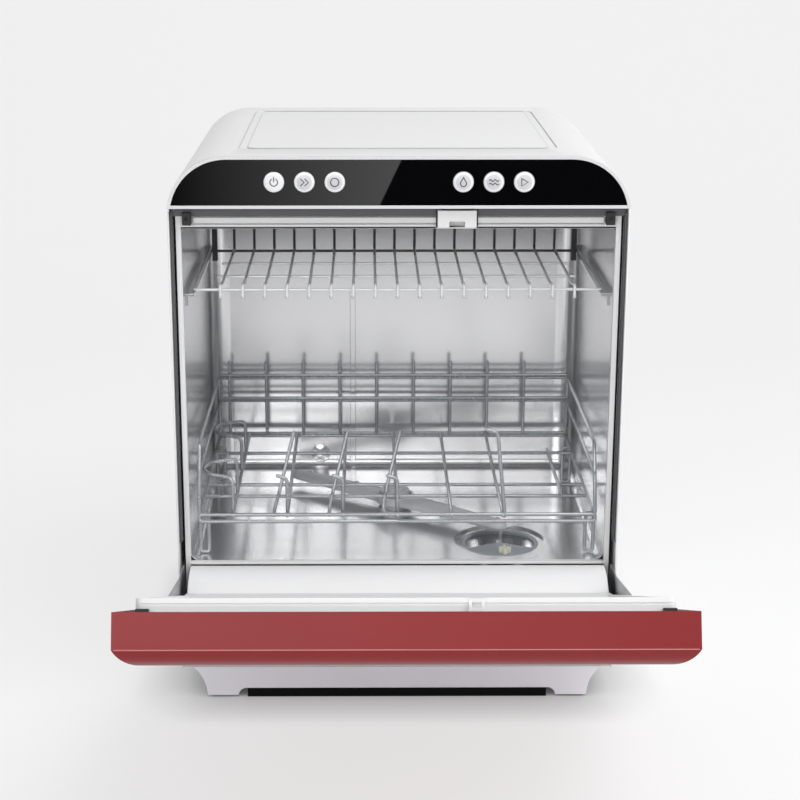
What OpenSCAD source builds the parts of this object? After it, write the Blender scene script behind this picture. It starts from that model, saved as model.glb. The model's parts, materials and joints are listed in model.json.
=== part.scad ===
// Countertop dishwasher with a drop-down front door, shown part open.
// Millimetres, +Z up. The origin is on the table, on the cabinet's centre line,
// in the plane of the cabinet's front edge. +X is to the right, +Y to the back.

/* [Cabinet] */
// Width of the cabinet
body_w = 416; // [412:1:450]
// Depth of the cabinet's shell
body_d = 356; // [346:1:380]
// Height from the table to the top
body_h = 528; // [518:1:545]
// Radius of the two rounded top edges
corner_r = 54; // [38:1:58]
// Thickness of the outer shell
shell_t = 1.5; // [1:0.5:2.5]
// Height of the base plinth
plinth_h = 32; // [28:1:34]
// Height of the rubber feet
foot_h = 2; // [1.5:0.5:4]
// How far the front frame is set back behind the shell's front edge
frame_recess = 10; // [8:1:12]

/* [Tub] */
// Clear width inside the tub
tub_w = 394; // [384:1:396]
// Clear depth inside the tub
tub_d = 289; // [280:1:296]
// Clear height inside the tub
tub_h = 324; // [316:1:326]
// Height of the tub's floor above the table
tub_z = 138; // [136:1:140]
// Thickness of the tub's sheet
tub_t = 1; // [0.5:0.5:2]
// Radius of the tub's rear corners
tub_r = 22; // [12:1:30]

/* [Door] */
// Height of the door's outer panel
door_h = 391; // [380:1:391]
// Gap between the door's upper edge and the fascia
door_gap = 5; // [3:0.5:5]
// How far the door's outer panel stands past the cabinet on each side
door_over = 10; // [2:1:12]
// Total thickness of the door's outer panel
door_t = 40; // [34:1:42]
// Depth of the panel's curved bevel
bevel_d = 12; // [8:1:14]
// Width of the panel's curved bevel
bevel_w = 20; // [14:1:24]
// Wall of the door's outer panel
door_wall = 2.5; // [2:0.5:3]
// Angle that the door stands open at rest, from closed
door_angle = 68; // [0:1:90]
// Width of the white liner
liner_w = 405; // [398:1:406]
// Height of the liner's raised rim above the panel's edge
rim_h = 10; // [6:1:10]
// Height of the hinge axis above the table
hinge_z = 92.5; // [92:0.5:93]
// Distance of the hinge axis in front of the cabinet's front plane
hinge_y = 8; // [7.5:0.5:9]
// Radius of the hinge pins
hinge_pin_r = 3; // [2.5:0.5:4]
// Radius of the liner's curved lower lip about the hinge axis
lip_r = 45.5; // [44:0.5:45.5]

/* [Fascia and buttons] */
// Height of the fascia above the door
fascia_h = 47; // [44:1:50]
// How far the fascia stands in front of the shell
fascia_t = 6; // [5:0.5:8]
// Width of the white border round the glass
border_w = 3; // [1.5:0.5:4]
// Diameter of a button
button_d = 18.4; // [16:0.2:21]
// Distance between neighbouring buttons
button_pitch = 27.1; // [26:0.1:32]
// Distance of the innermost button from the centre line
button_x = 57.2; // [50:0.1:80]
// Travel of a button
button_travel = 1.5; // [1:0.1:1.6]

/* [Racks] */
// Radius of the lower rack's wires
wire_r = 1.8; // [1.4:0.1:2]
// Radius of the upper rack's wires
thin_r = 1.4; // [1.1:0.1:1.6]
// Width of the lower rack
rack_w = 382; // [370:1:384]
// Depth of the lower rack
rack_d = 264; // [250:1:266]
// Height of the lower rack's floor above the tub's floor
rack_leg = 40; // [36:1:44]
// Height of the upper rack above the tub's floor
shelf_z = 257; // [240:1:265]
// Depth of the upper rack
shelf_d = 184; // [150:1:200]
// Width of the upper rack
shelf_w = 384; // [374:1:384]
// Spacing of the upper rack's long wires
shelf_pitch = 20.7; // [18:0.1:24]

/* [Washing parts] */
// Radius of the sump's rim
sump_r = 46; // [42:1:47]
// Distance of the sump to the right of the centre line
sump_x = 102; // [90:1:110]
// Distance of the sump behind the front plane
sump_y = 68; // [68:1:74]
// Length of the spray arm
arm_l = 276; // [240:1:280]
// Width of the spray arm at its hub
arm_w = 30; // [24:1:36]
// Angle that the spray arm stands at
arm_angle = -38; // [-60:1:-20]
// Outer radius of the hoses
hose_r = 9; // [8:0.5:10]

/* [Clearances] */
// Gap between a moving part and its neighbour
gap = 0.3; // [0.3:0.05:0.5]
// Radial clearance of a turning shaft
run_fit = 0.05; // [0.03:0.01:0.09]

/* [Hidden] */
$fn = 64;
eps = 0.01;
half_w = body_w / 2;
front_y = frame_recess;
frame_t = 6;
tub_y = front_y + frame_t;
tub_back = tub_y + tub_d;
tub_top = tub_z + tub_h;
half_tub = tub_w / 2;
post_w = 4.8;
fascia_z = body_h - fascia_h;
rear_y = body_d - 4;
rear_t = 2;
base_t = 3;
foot_r = 9;
foot_x = half_w - 24;
plinth_foot_x = foot_x - 14;
foot_ys = [24, body_d - 30];
inner_x = half_w - shell_t;
panel_x = inner_x - gap;

// hinge and door, in the closed position
rim_y = -0.5;
door_top = fascia_z - door_gap;
door_z = door_top - door_h;
door_w = body_w + 2 * door_over;
liner_top = door_top - 14;
liner_bottom = tub_z + 3;
liner_face = rim_y + rim_h;
liner_back = rim_y - 2.5;
liner_t = 2.5;
liner_rim = 12;
door_frame_t = 1.5;
door_frame_y = liner_back - door_frame_t;
lip_t = 2;
lip_end = -12;
arm_plate_t = 1.5;
arm_x = half_tub + post_w + 0.4;
arm_top = door_z + 150;

// gasket, stops and lock
gasket_x = arm_x + arm_plate_t + gap;
gasket_w = inner_x - gap / 3 - gasket_x;
gasket_h = 2.4;
gasket_z = tub_z + 22;
rail_top = fascia_z - 1;
pad_z = liner_top + 2.5;
pad_h = 6.5;
stop_w = 8;
stop_x = half_tub - 10;
lock_x = 52.5;
lock_w = 35;
strike_w = 12;
strike_t = 1.5;
strike_z = liner_top + 3;
lock_z = tub_top + tub_t + 0.4;
bolt_w = 5;
bolt_d = 3;
bolt_travel = 4;

// fascia
glass_t = 2.5;
button_z = fascia_z + fascia_h / 2 + 0.5;
button_proud = 1.5;
stem_r = 3;
carrier_t = 2.5;
board_y = 14;
board_t = 1.6;
switch_h = 3.7;
stem_end = board_y - switch_h - button_travel - gap;
button_xs = [for (i = [0 : 5])
    (i < 3 ? -1 : 1) * (button_x + button_pitch * (i < 3 ? 2 - i : i - 3))];

// washing parts
arm_z = tub_z + 9;
arm_t = 9;
hub_y = tub_y + tub_d / 2 - 2;
hub_r = 9;
nut_r = hub_r + 6;
well_r = 38;
well_z = 98;
filter_z = tub_z - 4;
knob_x = sump_x + 3;
knob_y = sump_y - 27;
pump_x = 60;
pump_y = 230;
pump_z = 73;
volute_r = 34;
motor_r = 27;
impeller_r = 26;
shaft_r = 3;
heater_r = 16;
drain_r = 20;
port_z = 106;
drain_pump_x = sump_x - 40;
drain_x = -150;
drain_z = 62;
hose_y = sump_y + 42;
hose_rests = [drain_x + 20, drain_x + 160];
cuff_r = 10.5;
cuff_l = 15.25;
valve_half = 17;
neck_r = 12.5;
valve_x = -80;
valve_z = 84;
thread_r = 13.2;
thread_l = 14;
gland_x = 150;
gland_z = 70;
gland_r = 7;
gland_l = 22;
cord_r = 3.8;
spigot_r = 7;

// racks
rack_z = tub_z + rack_leg;
rack_y = front_y + 12 + wire_r;
rack_back = rack_y + rack_d;
side_x = rack_w / 2 - wire_r;
long_z = rack_z + 2 * wire_r - 0.6;
deck_z = long_z + wire_r + gap;
front_z = rack_z + 8;
tine_z = rack_z + 40;
rail_z = rack_z + 67;
tip_z = rack_z + 85;
floor_xs = [-157, -105, -52, 0, 52, 101, 163];
cross_ys = [rack_y + 62, rack_y + 97, rack_y + 201];
leg_ys = [rack_y + 6, rack_back - 46];
leg_w = 8;
shelf_y = front_y + 40;
shelf_back = shelf_y + shelf_d;
shelf_top = tub_z + shelf_z;
half_shelf = shelf_w / 2;
fence_up = 22;
rail_x = half_shelf - 3;

// ---- helpers ----

// A round bar from point a to point b.
module rod(a, b, r) {
    v = b - a;
    l = norm(v);
    translate(a)
        rotate([0, acos(v[2] / l), atan2(v[1], v[0])])
            cylinder(h = l, r = r);
}

// A thin wire that follows a list of points. Each stretch runs on a little
// past its bends, so that neighbours are welded together.
module wire(points, r) {
    last = len(points) - 1;
    for (i = [0 : last - 1]) {
        u = (points[i + 1] - points[i]) / norm(points[i + 1] - points[i]);
        a = points[i] - (i == 0 ? 0 : 0.9 * r) * u;
        b = points[i + 1] + (i == last - 1 ? 0 : 0.9 * r) * u;
        rod(a, b, r, $fn = 8);
    }
}

// A round bar that follows a list of points, with round joints.
module bar(points, r) {
    for (i = [0 : len(points) - 2]) rod(points[i], points[i + 1], r);
    if (len(points) > 2)
        for (i = [1 : len(points) - 2]) translate(points[i]) sphere(r = r);
}

// A tube that follows a list of points, open at both ends.
module pipe(points, r_out, r_in) {
    last = len(points) - 1;
    difference() {
        bar(points, r_out);
        bar(points, r_in);
        translate(points[0])
            end_plug(points[0] - points[1], r_in);
        translate(points[last])
            end_plug(points[last] - points[last - 1], r_in);
    }
}

// A short plug along direction v that opens a tube's mouth.
module end_plug(v, r) {
    u = v / norm(v);
    rod(-u, u, r);
}

// A round-cornered rectangle between two corners.
module round_rect(x0, y0, x1, y1, r) {
    translate([x0 + r, y0]) square([x1 - x0 - 2 * r, y1 - y0]);
    translate([x0, y0 + r]) square([x1 - x0, y1 - y0 - 2 * r]);
    for (x = [x0 + r, x1 - r], y = [y0 + r, y1 - r]) translate([x, y]) circle(r = r);
}

// The cabinet's front outline, with its two rounded top corners.
module cabinet_outline(x, z0, z1, r) {
    translate([-x, z0]) square([2 * x, z1 - z0 - r]);
    translate([-x + r, z0]) square([2 * (x - r), z1 - z0]);
    for (s = [-1, 1]) translate([s * (x - r), z1 - r]) circle(r = r);
}

// Stands an outline drawn in X and Z up, from y0 over the thickness t.
module upright(y0, t) {
    translate([0, y0 + t, 0]) rotate([90, 0, 0]) linear_extrude(t) children();
}

// Runs an outline drawn in Y and Z from x0 over the length l along X.
module along_x(x0, l) {
    translate([x0, 0, 0]) rotate([90, 0, 90]) linear_extrude(l) children();
}

module box(x0, y0, z0, x1, y1, z1) {
    translate([x0, y0, z0]) cube([x1 - x0, y1 - y0, z1 - z0]);
}

// Draws its children on both sides of the centre line.
module both_sides() {
    children();
    mirror([1, 0, 0]) children();
}

// Turns a part drawn in the closed position to the door's rest angle.
module swing() {
    translate([0, -hinge_y, hinge_z])
        rotate([door_angle, 0, 0])
            translate([0, hinge_y, -hinge_z])
                children();
}

// ---- cabinet ----

module outer_shell() {
    groove_x = 146;
    band = 8;
    color("white") difference() {
        union() {
            upright(0, body_d) difference() {
                cabinet_outline(half_w, plinth_h, body_h, corner_r);
                cabinet_outline(inner_x, plinth_h - 1, body_h - shell_t, corner_r - shell_t);
            }
            // the front edge turns in behind the gasket
            both_sides() box(gasket_x, front_y + 2, gasket_z, inner_x + 1, front_y + 4, rail_top);
        }
        // shallow pressed band on the top
        translate([0, 0, body_h - 0.8]) linear_extrude(2) difference() {
            round_rect(-groove_x, 39, groove_x, body_d - 30, 14);
            round_rect(-groove_x + band, 39 + band, groove_x - band, body_d - 30 - band, 9);
        }
    }
}

module rear_panel() {
    color("gainsboro") difference() {
        upright(rear_y, rear_t)
            cabinet_outline(panel_x, plinth_h + base_t, body_h - shell_t - gap,
                            corner_r - shell_t - gap);
        for (x = [-130 : 20 : 130])
            box(x - 2, rear_y - 1, tub_top - 32, x + 2, rear_y + rear_t + 1, tub_top + 8);
        translate([valve_x, rear_y - 1, valve_z]) rotate([-90, 0, 0])
            cylinder(h = rear_t + 2, r = neck_r + gap);
        translate([drain_x, rear_y - 1, drain_z]) rotate([-90, 0, 0])
            cylinder(h = rear_t + 2, r = hose_r + gap);
        translate([gland_x, rear_y - 1, gland_z]) rotate([-90, 0, 0])
            cylinder(h = rear_t + 2, r = gland_r);
    }
}

module base_plinth() {
    flare_r = 40;
    arch_x = 146;
    arch_top = 9.5;
    wall = 5;
    color("lavender") difference() {
        upright(4, body_d - 12) difference() {
            translate([-foot_x - 16, foot_h]) square([2 * (foot_x + 16), plinth_h - foot_h]);
            for (s = [-1, 1]) translate([s * (foot_x + flare_r), foot_h]) circle(r = flare_r);
        }
        // hollow inside the skirt, with a post above each foot
        difference() {
            box(-foot_x + wall, 4 + wall, 0, foot_x - wall, body_d - 8 - wall, plinth_h - wall);
            both_sides() for (y = foot_ys) translate([plinth_foot_x, y, 0])
                cylinder(h = plinth_h, r = foot_r + 3);
        }
        box(-foot_x + 60, 40, 0, foot_x - 60, body_d - 50, plinth_h + 1);
        // low arch along the front and back edges
        upright(-1, body_d + 2) {
            translate([-arch_x - 14, -1]) square([2 * (arch_x + 14), 3]);
            translate([-arch_x, -1]) square([2 * arch_x, arch_top + 1]);
            for (s = [-1, 1]) translate([s * arch_x, 2]) circle(r = arch_top - 2);
        }
    }
}

module base_pan() {
    color("silver") difference() {
        union() {
            box(-panel_x, 4, plinth_h, panel_x, rear_y + rear_t, plinth_h + base_t);
            // posts under the back of the tub
            both_sides() box(104, tub_back - 20, plinth_h, 118, tub_back - 6, tub_z - tub_t);
            for (x = [pump_x - 60, pump_x - 18])
                box(x, pump_y - 22, plinth_h, x + 6, pump_y + 22, pump_z - motor_r + 4);
            box(drain_pump_x - 36, sump_y - 10, plinth_h, drain_pump_x - 16, sump_y + 10,
                port_z - drain_r + 2);
            box(valve_x - 14, rear_y - 34, plinth_h, valve_x + 14, rear_y - 8,
                valve_z - valve_half);
            for (x = hose_rests)
                box(x - 4, hose_y - 4, plinth_h, x + 4, hose_y + 4, drain_z - hose_r + 1);
        }
        translate([pump_x - 80, pump_y, pump_z]) rotate([0, 90, 0])
            cylinder(h = 100, r = motor_r);
        translate([0, sump_y, port_z]) rotate([0, 90, 0]) cylinder(h = 60, r = drain_r);
        for (x = hose_rests)
            rod([x - 5, hose_y, drain_z], [x + 5, hose_y, drain_z], hose_r + gap);
    }
}

module rubber_feet() {
    color("dimgray") both_sides() for (y = foot_ys)
        translate([plinth_foot_x, y, 0]) cylinder(h = foot_h, r = foot_r);
}

module kick_panel() {
    color("white") difference() {
        box(-panel_x, 4, plinth_h + base_t, panel_x, 6.5, door_z - 6);
        box(-40, 3, plinth_h + base_t + 16, 40, 5, plinth_h + base_t + 18);
    }
}

// ---- front frame ----

module front_frame() {
    color("white") difference() {
        union() {
            both_sides()
                box(half_tub, front_y, plinth_h + base_t, half_tub + post_w, tub_y, rail_top);
            box(-half_tub, front_y, tub_top - 2, half_tub, tub_y, rail_top);
            box(-half_tub, front_y, tub_z - 2.4, half_tub, tub_y, tub_z);
            // two pads along the top rail, with a gap for the lock
            box(-stop_x + 2, front_y - 4, pad_z, lock_x - lock_w / 2 - 0.5, front_y, pad_z + pad_h);
            box(lock_x + lock_w / 2 + 0.5, front_y - 4, pad_z, stop_x - 2, front_y, pad_z + pad_h);
        }
        box(lock_x - lock_w / 2, front_y - 1, lock_z, lock_x + lock_w / 2, tub_y + 1, rail_top + 1);
    }
}

module door_gasket() {
    z1 = rail_top - 4;
    color("dimgray") difference() {
        union() {
            both_sides()
                box(gasket_x, front_y - 5, gasket_z, gasket_x + gasket_w, front_y + 2, z1);
            box(-gasket_x - 1, front_y - 3, z1 - gasket_h, gasket_x + 1, front_y, z1);
        }
        box(lock_x - lock_w / 2, 0, z1 - 10, lock_x + lock_w / 2, tub_y, z1 + 1);
    }
}

// One black stop block beside the top rail, on the side s.
module frame_stop(s) {
    color("black") scale_x(s) difference() {
        union() {
            box(stop_x, front_y - 8, pad_z, stop_x + stop_w, front_y - 3, rail_top - 4);
            box(stop_x, front_y - 4, pad_z, stop_x + stop_w, front_y, rail_top - 4 - gasket_h);
        }
        translate([stop_x + stop_w / 2, front_y - 9, pad_z + 6]) rotate([-90, 0, 0])
            cylinder(h = 2.5, r = 1.5);
    }
}

// Mirrors its children to the side s of the centre line.
module scale_x(s) {
    if (s > 0) children();
    else mirror([1, 0, 0]) children();
}

module lock_housing() {
    x0 = lock_x - lock_w / 2;
    color("whitesmoke") difference() {
        union() {
            box(x0, 1, liner_top + 0.5, x0 + lock_w, front_y, rail_top - 2);
            box(x0, front_y, lock_z, x0 + lock_w, 22, rail_top - 2);
        }
        // slot for the strike
        box(lock_x - strike_w / 2 - 1, 0, liner_top, lock_x + strike_w / 2 + 1, 9.6,
            strike_z + strike_t + 1.5);
        // way for the bolt
        box(lock_x - bolt_w / 2 - gap, 3 - gap, liner_top, lock_x + bolt_w / 2 + gap,
            3 + bolt_d + gap, rail_top);
    }
}

module lock_bolt() {
    color("silver")
        box(lock_x - bolt_w / 2, 3, strike_z - 0.5 + bolt_travel, lock_x + bolt_w / 2, 3 + bolt_d,
            rail_top + 4);
}

module lock_solenoid() {
    z0 = rail_top - 2;
    color("goldenrod") difference() {
        box(lock_x - 14, 0.5, z0, lock_x + 14, 12, z0 + 13);
        box(lock_x - bolt_w / 2 - gap, 3 - gap, z0 - 1, lock_x + bolt_w / 2 + gap,
            3 + bolt_d + gap, z0 + 8);
    }
}

// ---- fascia ----

module glass_outline(inset) {
    r = corner_r - inset;
    intersection() {
        cabinet_outline(half_w - inset, plinth_h, body_h - inset, r);
        translate([-half_w, fascia_z + inset]) square([body_w, fascia_h]);
    }
}

module fascia_bezel() {
    color("white") difference() {
        union() {
            upright(-fascia_t, fascia_t) glass_outline(0);
            upright(-eps, 8) intersection() {
                cabinet_outline(panel_x, plinth_h, body_h - shell_t - gap,
                                corner_r - shell_t - gap);
                translate([-panel_x, fascia_z]) square([2 * panel_x, fascia_h]);
            }
        }
        // pocket for the glass
        upright(-fascia_t - 1, glass_t + 1) glass_outline(border_w);
        // room behind, for the board and its switches
        upright(-fascia_t + glass_t + carrier_t, 30) glass_outline(shell_t + 4);
        for (x = button_xs) translate([x, -fascia_t + glass_t - 1, button_z])
            rotate([-90, 0, 0]) cylinder(h = carrier_t + 2, r = button_d / 2 + 2 * gap);
        // room for the lock in the lower edge
        box(lock_x - 15, 0, fascia_z - 1, lock_x + 15, 20, fascia_z + 12);
    }
    color("white") for (x = button_xs) translate([x, 0, button_z]) rotate([-90, 0, 0]) {
        difference() {
            cylinder(h = 3, r = button_d / 2 + 3);
            translate([0, 0, -1]) cylinder(h = 5, r = stem_r + gap);
        }
        translate([0, 0, -1]) difference() {
            cylinder(h = 1 + eps, r = button_d / 2 + 3);
            translate([0, 0, -1]) cylinder(h = 3, r = button_d / 2 + 2 * gap);
        }
    }
    // posts that carry the board
    color("white") for (x = [-150, 0, 150]) translate([x, -1, button_z]) rotate([-90, 0, 0])
        cylinder(h = board_y + 1, r = 3);
}

module control_glass() {
    color("black") difference() {
        upright(-fascia_t, glass_t) glass_outline(border_w);
        for (x = button_xs) translate([x, -fascia_t - 1, button_z]) rotate([-90, 0, 0])
            cylinder(h = glass_t + 2, r = button_d / 2 + gap);
    }
}

// The button number i: a round cap with its stem.
module button(i) {
    color("whitesmoke") translate([button_xs[i], -fascia_t - button_proud, button_z])
        rotate([-90, 0, 0]) {
            cylinder(h = glass_t + button_proud + 0.3, r = button_d / 2);
            cylinder(h = fascia_t + button_proud + stem_end, r = stem_r);
        }
}

module control_board() {
    color("darkgreen") difference() {
        box(-half_w + 50, board_y, fascia_z + 12, half_w - 50, board_y + board_t, body_h - 12);
        translate([lock_x - 18, board_y - 1, fascia_z]) cube([36, 4, 20]);
    }
    color("black") for (x = button_xs)
        box(x - 3.5, board_y - switch_h, button_z - 3.5, x + 3.5, board_y + eps, button_z + 3.5);
    color("silver") for (x = [-110, -30, 110])
        box(x - 12, board_y + board_t - eps, button_z - 8, x + 12, board_y + board_t + 9,
            button_z + 8);
}

// ---- tub and washing parts ----

module tub_plan(inset) {
    x = half_tub + tub_t - inset;
    y1 = tub_back + tub_t - inset;
    translate([-x, tub_y]) square([2 * x, y1 - tub_y - tub_r]);
    translate([-x + tub_r, tub_y]) square([2 * (x - tub_r), y1 - tub_y]);
    for (s = [-1, 1]) translate([s * (x - tub_r), y1 - tub_r]) circle(r = tub_r);
}

module tub() {
    color("silver") difference() {
        union() {
            translate([0, 0, tub_z - tub_t]) linear_extrude(tub_h + 2 * tub_t) tub_plan(0);
            box(-half_tub - post_w, tub_y, tub_z - tub_t, half_tub + post_w, tub_y + tub_t,
                tub_top + 14);
        }
        difference() {
            translate([0, 0, tub_z]) linear_extrude(tub_h) tub_plan(tub_t);
            // pressed seam up the back wall
            box(-47, tub_back - 2, tub_z - 1, -41, tub_back + 5, tub_z + 200);
        }
        box(-half_tub, tub_y - 1, tub_z, half_tub, tub_y + tub_t + 1, tub_top);
        translate([sump_x, sump_y, tub_z - 5]) cylinder(h = 10, r = sump_r);
        translate([0, hub_y, tub_z - 5]) cylinder(h = 10, r = hub_r + 3);
        translate([valve_x, tub_back - 5, tub_z + 14]) rotate([-90, 0, 0])
            cylinder(h = 10, r = spigot_r);
        // room for the lock in the flange
        box(lock_x - lock_w / 2, tub_y - 1, lock_z, lock_x + lock_w / 2, tub_y + 7, rail_top);
    }
}

module sump() {
    recess = 2.5;
    t = 1.2;
    color("silver") difference() {
        union() {
            translate([sump_x, sump_y, 0]) rotate_extrude() difference() {
                polygon([
                    [0, well_z], [27.5, well_z], [well_r + 1, 126], [well_r + 1, tub_z - recess - t],
                    [sump_r, tub_z - recess - t], [sump_r, tub_z], [0, tub_z]
                ]);
                polygon([
                    [0, well_z + t], [27.5 - t, well_z + t], [well_r + 1 - t, 126 + 0.4],
                    [well_r + 1 - t, tub_z - recess], [sump_r - t, tub_z - recess],
                    [sump_r - t, tub_z + 1], [0, tub_z + 1]
                ]);
            }
            translate([sump_x, sump_y + 26, port_z]) rotate([-90, 0, 0])
                cylinder(h = 16, r = spigot_r);
            translate([sump_x - 26, sump_y, port_z]) rotate([0, -90, 0])
                cylinder(h = 14, r = spigot_r);
        }
        translate([sump_x, sump_y + 20, port_z]) rotate([-90, 0, 0])
            cylinder(h = 30, r = spigot_r - 1.5);
        translate([sump_x - 20, sump_y, port_z]) rotate([0, -90, 0])
            cylinder(h = 30, r = spigot_r - 1.5);
    }
}

module filter_basket() {
    ring_in = 34;
    rib_w = 3;
    color("lightsteelblue") translate([sump_x, sump_y, 0]) difference() {
        union() {
            translate([0, 0, filter_z - 2]) difference() {
                cylinder(h = 3, r = well_r - 0.5);
                translate([0, 0, -1]) cylinder(h = 5, r = ring_in);
            }
            // three ribs and the plate in front
            for (a = [84, 205, -25]) rotate([0, 0, a])
                translate([0, -rib_w / 2, filter_z - 8]) cube([ring_in + 1, rib_w, 9]);
            intersection() {
                translate([0, 0, filter_z - 1]) cylinder(h = 2, r = ring_in + 1);
                linear_extrude(body_h)
                    polygon([[0, 0], [-60, -28], [-60, -80], [60, -80], [60, -28]]);
            }
            // fine filter cup
            translate([0, 0, well_z + 2]) difference() {
                cylinder(h = filter_z - well_z - 8, r = 20);
                translate([0, 0, 1]) cylinder(h = 60, r = 18.5);
            }
        }
        translate([3, -27, filter_z - 3]) cylinder(h = 6, r = 2.5 + gap);
    }
}

module filter_knob() {
    color("ivory") translate([knob_x, knob_y, filter_z + 1 + gap]) {
        cylinder(h = 2, r = 4.5);
        for (a = [0, 90]) rotate([0, 0, a]) translate([-6, -1.6, 0]) cube([12, 3.2, 6]);
        translate([0, 0, -5]) cylinder(h = 6, r = 2.5);
        translate([-4, -1, -5]) cube([8, 2, 1.6]);
    }
}

module spray_hub() {
    color("gray") translate([0, hub_y, 0]) difference() {
        union() {
            translate([0, 0, tub_z - 6]) cylinder(h = arm_z + arm_t + 3 - tub_z + 6, r = hub_r);
            translate([0, 0, tub_z - 16]) cylinder(h = 12, r = spigot_r);
            translate([0, 0, tub_z]) cylinder(h = 3, r = hub_r + 8);
            translate([0, 0, tub_z]) cylinder(h = arm_z - gap - tub_z, r = hub_r + 4);
            translate([0, 0, tub_z - tub_t - 4]) cylinder(h = 4, r = hub_r + 8);
            translate([0, 0, tub_z - 3]) cylinder(h = 4, r = hub_r + 3);
        }
        translate([0, 0, tub_z - 20]) cylinder(h = 60, r = spigot_r - 1.5);
    }
}

module spray_arm() {
    tip_w = 18;
    half_l = arm_l / 2;
    color("lightgray") translate([0, hub_y, arm_z]) rotate([0, 0, arm_angle]) difference() {
        union() {
            linear_extrude(arm_t) {
                polygon([
                    [-half_l + tip_w / 2, -tip_w / 2], [0, -arm_w / 2],
                    [half_l - tip_w / 2, -tip_w / 2], [half_l - tip_w / 2, tip_w / 2],
                    [0, arm_w / 2], [-half_l + tip_w / 2, tip_w / 2]
                ]);
                for (s = [-1, 1]) translate([s * (half_l - tip_w / 2), 0]) circle(r = tip_w / 2);
                circle(r = hub_r + 10);
            }
            // raised rib along the blade
            translate([-half_l + 14, -3, arm_t - 1]) cube([2 * half_l - 28, 6, 2.4]);
        }
        translate([0, 0, -1]) cylinder(h = arm_t + 5, r = hub_r + run_fit);
        translate([0, 0, arm_t]) cylinder(h = 4, r = nut_r + 1);
        for (x = [-118, -86, -54, 42, 70, 102, 124])
            translate([x, 6, arm_t - 3]) cylinder(h = 6, r = 1.3);
    }
}

module spray_nut() {
    z0 = arm_z + arm_t + gap;
    color("gray") translate([0, hub_y, z0]) difference() {
        union() {
            cylinder(h = 4, r = nut_r);
            translate([0, 0, 3]) cylinder(h = 4, r = hub_r + 2, $fn = 6);
        }
        translate([0, 0, -1]) cylinder(h = 4 - gap, r = hub_r);
        translate([0, 0, -1]) cylinder(h = 6, r = hub_r - 3);
    }
}

module wash_pump_housing() {
    color("dimgray") difference() {
        union() {
            translate([pump_x, pump_y, pump_z]) rotate([0, 90, 0]) cylinder(h = 24, r = volute_r);
            translate([pump_x + 24, pump_y, pump_z]) rotate([0, 90, 0])
                cylinder(h = 12, r = spigot_r);
            translate([pump_x + 12, pump_y + 20, pump_z]) cylinder(h = 36, r = spigot_r);
        }
        translate([pump_x + 3, pump_y, pump_z]) rotate([0, 90, 0])
            cylinder(h = 18, r = volute_r - 3);
        translate([pump_x + 20, pump_y, pump_z]) rotate([0, 90, 0])
            cylinder(h = 20, r = spigot_r - 1.5);
        translate([pump_x + 12, pump_y + 20, pump_z + 10]) cylinder(h = 40, r = spigot_r - 1.5);
        translate([pump_x - 1, pump_y, pump_z]) rotate([0, 90, 0])
            cylinder(h = 5, r = shaft_r + run_fit);
    }
}

module wash_pump_motor() {
    color("silver") difference() {
        translate([pump_x - 70, pump_y, pump_z]) rotate([0, 90, 0]) cylinder(h = 70, r = motor_r);
        translate([pump_x - 20, pump_y, pump_z]) rotate([0, 90, 0])
            cylinder(h = 21, r = shaft_r + run_fit);
    }
}

// A pump wheel of radius r on a shaft along X, with flat vanes.
module impeller(r, w, shaft_l) {
    rotate([0, 90, 0]) {
        translate([0, 0, -shaft_l]) cylinder(h = shaft_l + w, r = shaft_r);
        cylinder(h = 2, r = r);
        cylinder(h = w, r = 2 * shaft_r);
        for (a = [0 : 60 : 300]) rotate([0, 0, a])
            translate([0, -1, 0]) cube([r, 2, w]);
    }
}

module wash_impeller() {
    color("white") translate([pump_x + 5, pump_y, pump_z]) impeller(impeller_r, 12, 22);
}

module flow_heater() {
    y0 = sump_y + 42;
    color("silver") difference() {
        union() {
            translate([sump_x, y0, port_z]) rotate([-90, 0, 0]) cylinder(h = 60, r = heater_r);
            translate([sump_x, y0 + 60, port_z]) rotate([-90, 0, 0])
                cylinder(h = 14, r = spigot_r);
        }
        translate([sump_x, y0 + 3, port_z]) rotate([-90, 0, 0]) cylinder(h = 54, r = heater_r - 2);
        translate([sump_x, y0 - 1, port_z]) rotate([-90, 0, 0])
            cylinder(h = 80, r = spigot_r - 1.5);
    }
}

module drain_pump() {
    x0 = drain_pump_x;
    color("dimgray") difference() {
        union() {
            translate([x0, sump_y, port_z]) rotate([0, -90, 0]) cylinder(h = 40, r = drain_r);
            translate([x0 - 8, sump_y + 12, port_z]) rotate([-90, 0, 0])
                cylinder(h = 20, r = spigot_r);
        }
        translate([x0 - 2, sump_y, port_z]) rotate([0, -90, 0]) cylinder(h = 12, r = drain_r - 2);
        translate([x0 + 1, sump_y, port_z]) rotate([0, -90, 0])
            cylinder(h = 5, r = spigot_r - 1.5);
        translate([x0 - 8, sump_y + 10, port_z]) rotate([-90, 0, 0])
            cylinder(h = 30, r = spigot_r - 1.5);
        translate([x0 - 10, sump_y, port_z]) rotate([0, -90, 0])
            cylinder(h = 20, r = shaft_r + run_fit);
    }
}

module drain_impeller() {
    color("white") translate([drain_pump_x - 12, sump_y, port_z]) impeller(14, 8, 14);
}

module sump_hose() {
    y0 = sump_y + 102;
    color("black") pipe([
        [sump_x, y0, port_z], [sump_x, pump_y, port_z], [sump_x, pump_y, pump_z],
        [pump_x + 24, pump_y, pump_z]
    ], hose_r, spigot_r);
}

module spray_hose() {
    z1 = tub_z - 20;
    color("black") pipe([
        [pump_x + 12, pump_y + 20, pump_z + volute_r - 1], [pump_x + 12, pump_y + 20, z1],
        [pump_x + 12, hub_y, z1], [0, hub_y, z1], [0, hub_y, tub_z - 8]
    ], hose_r, spigot_r);
}

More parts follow.
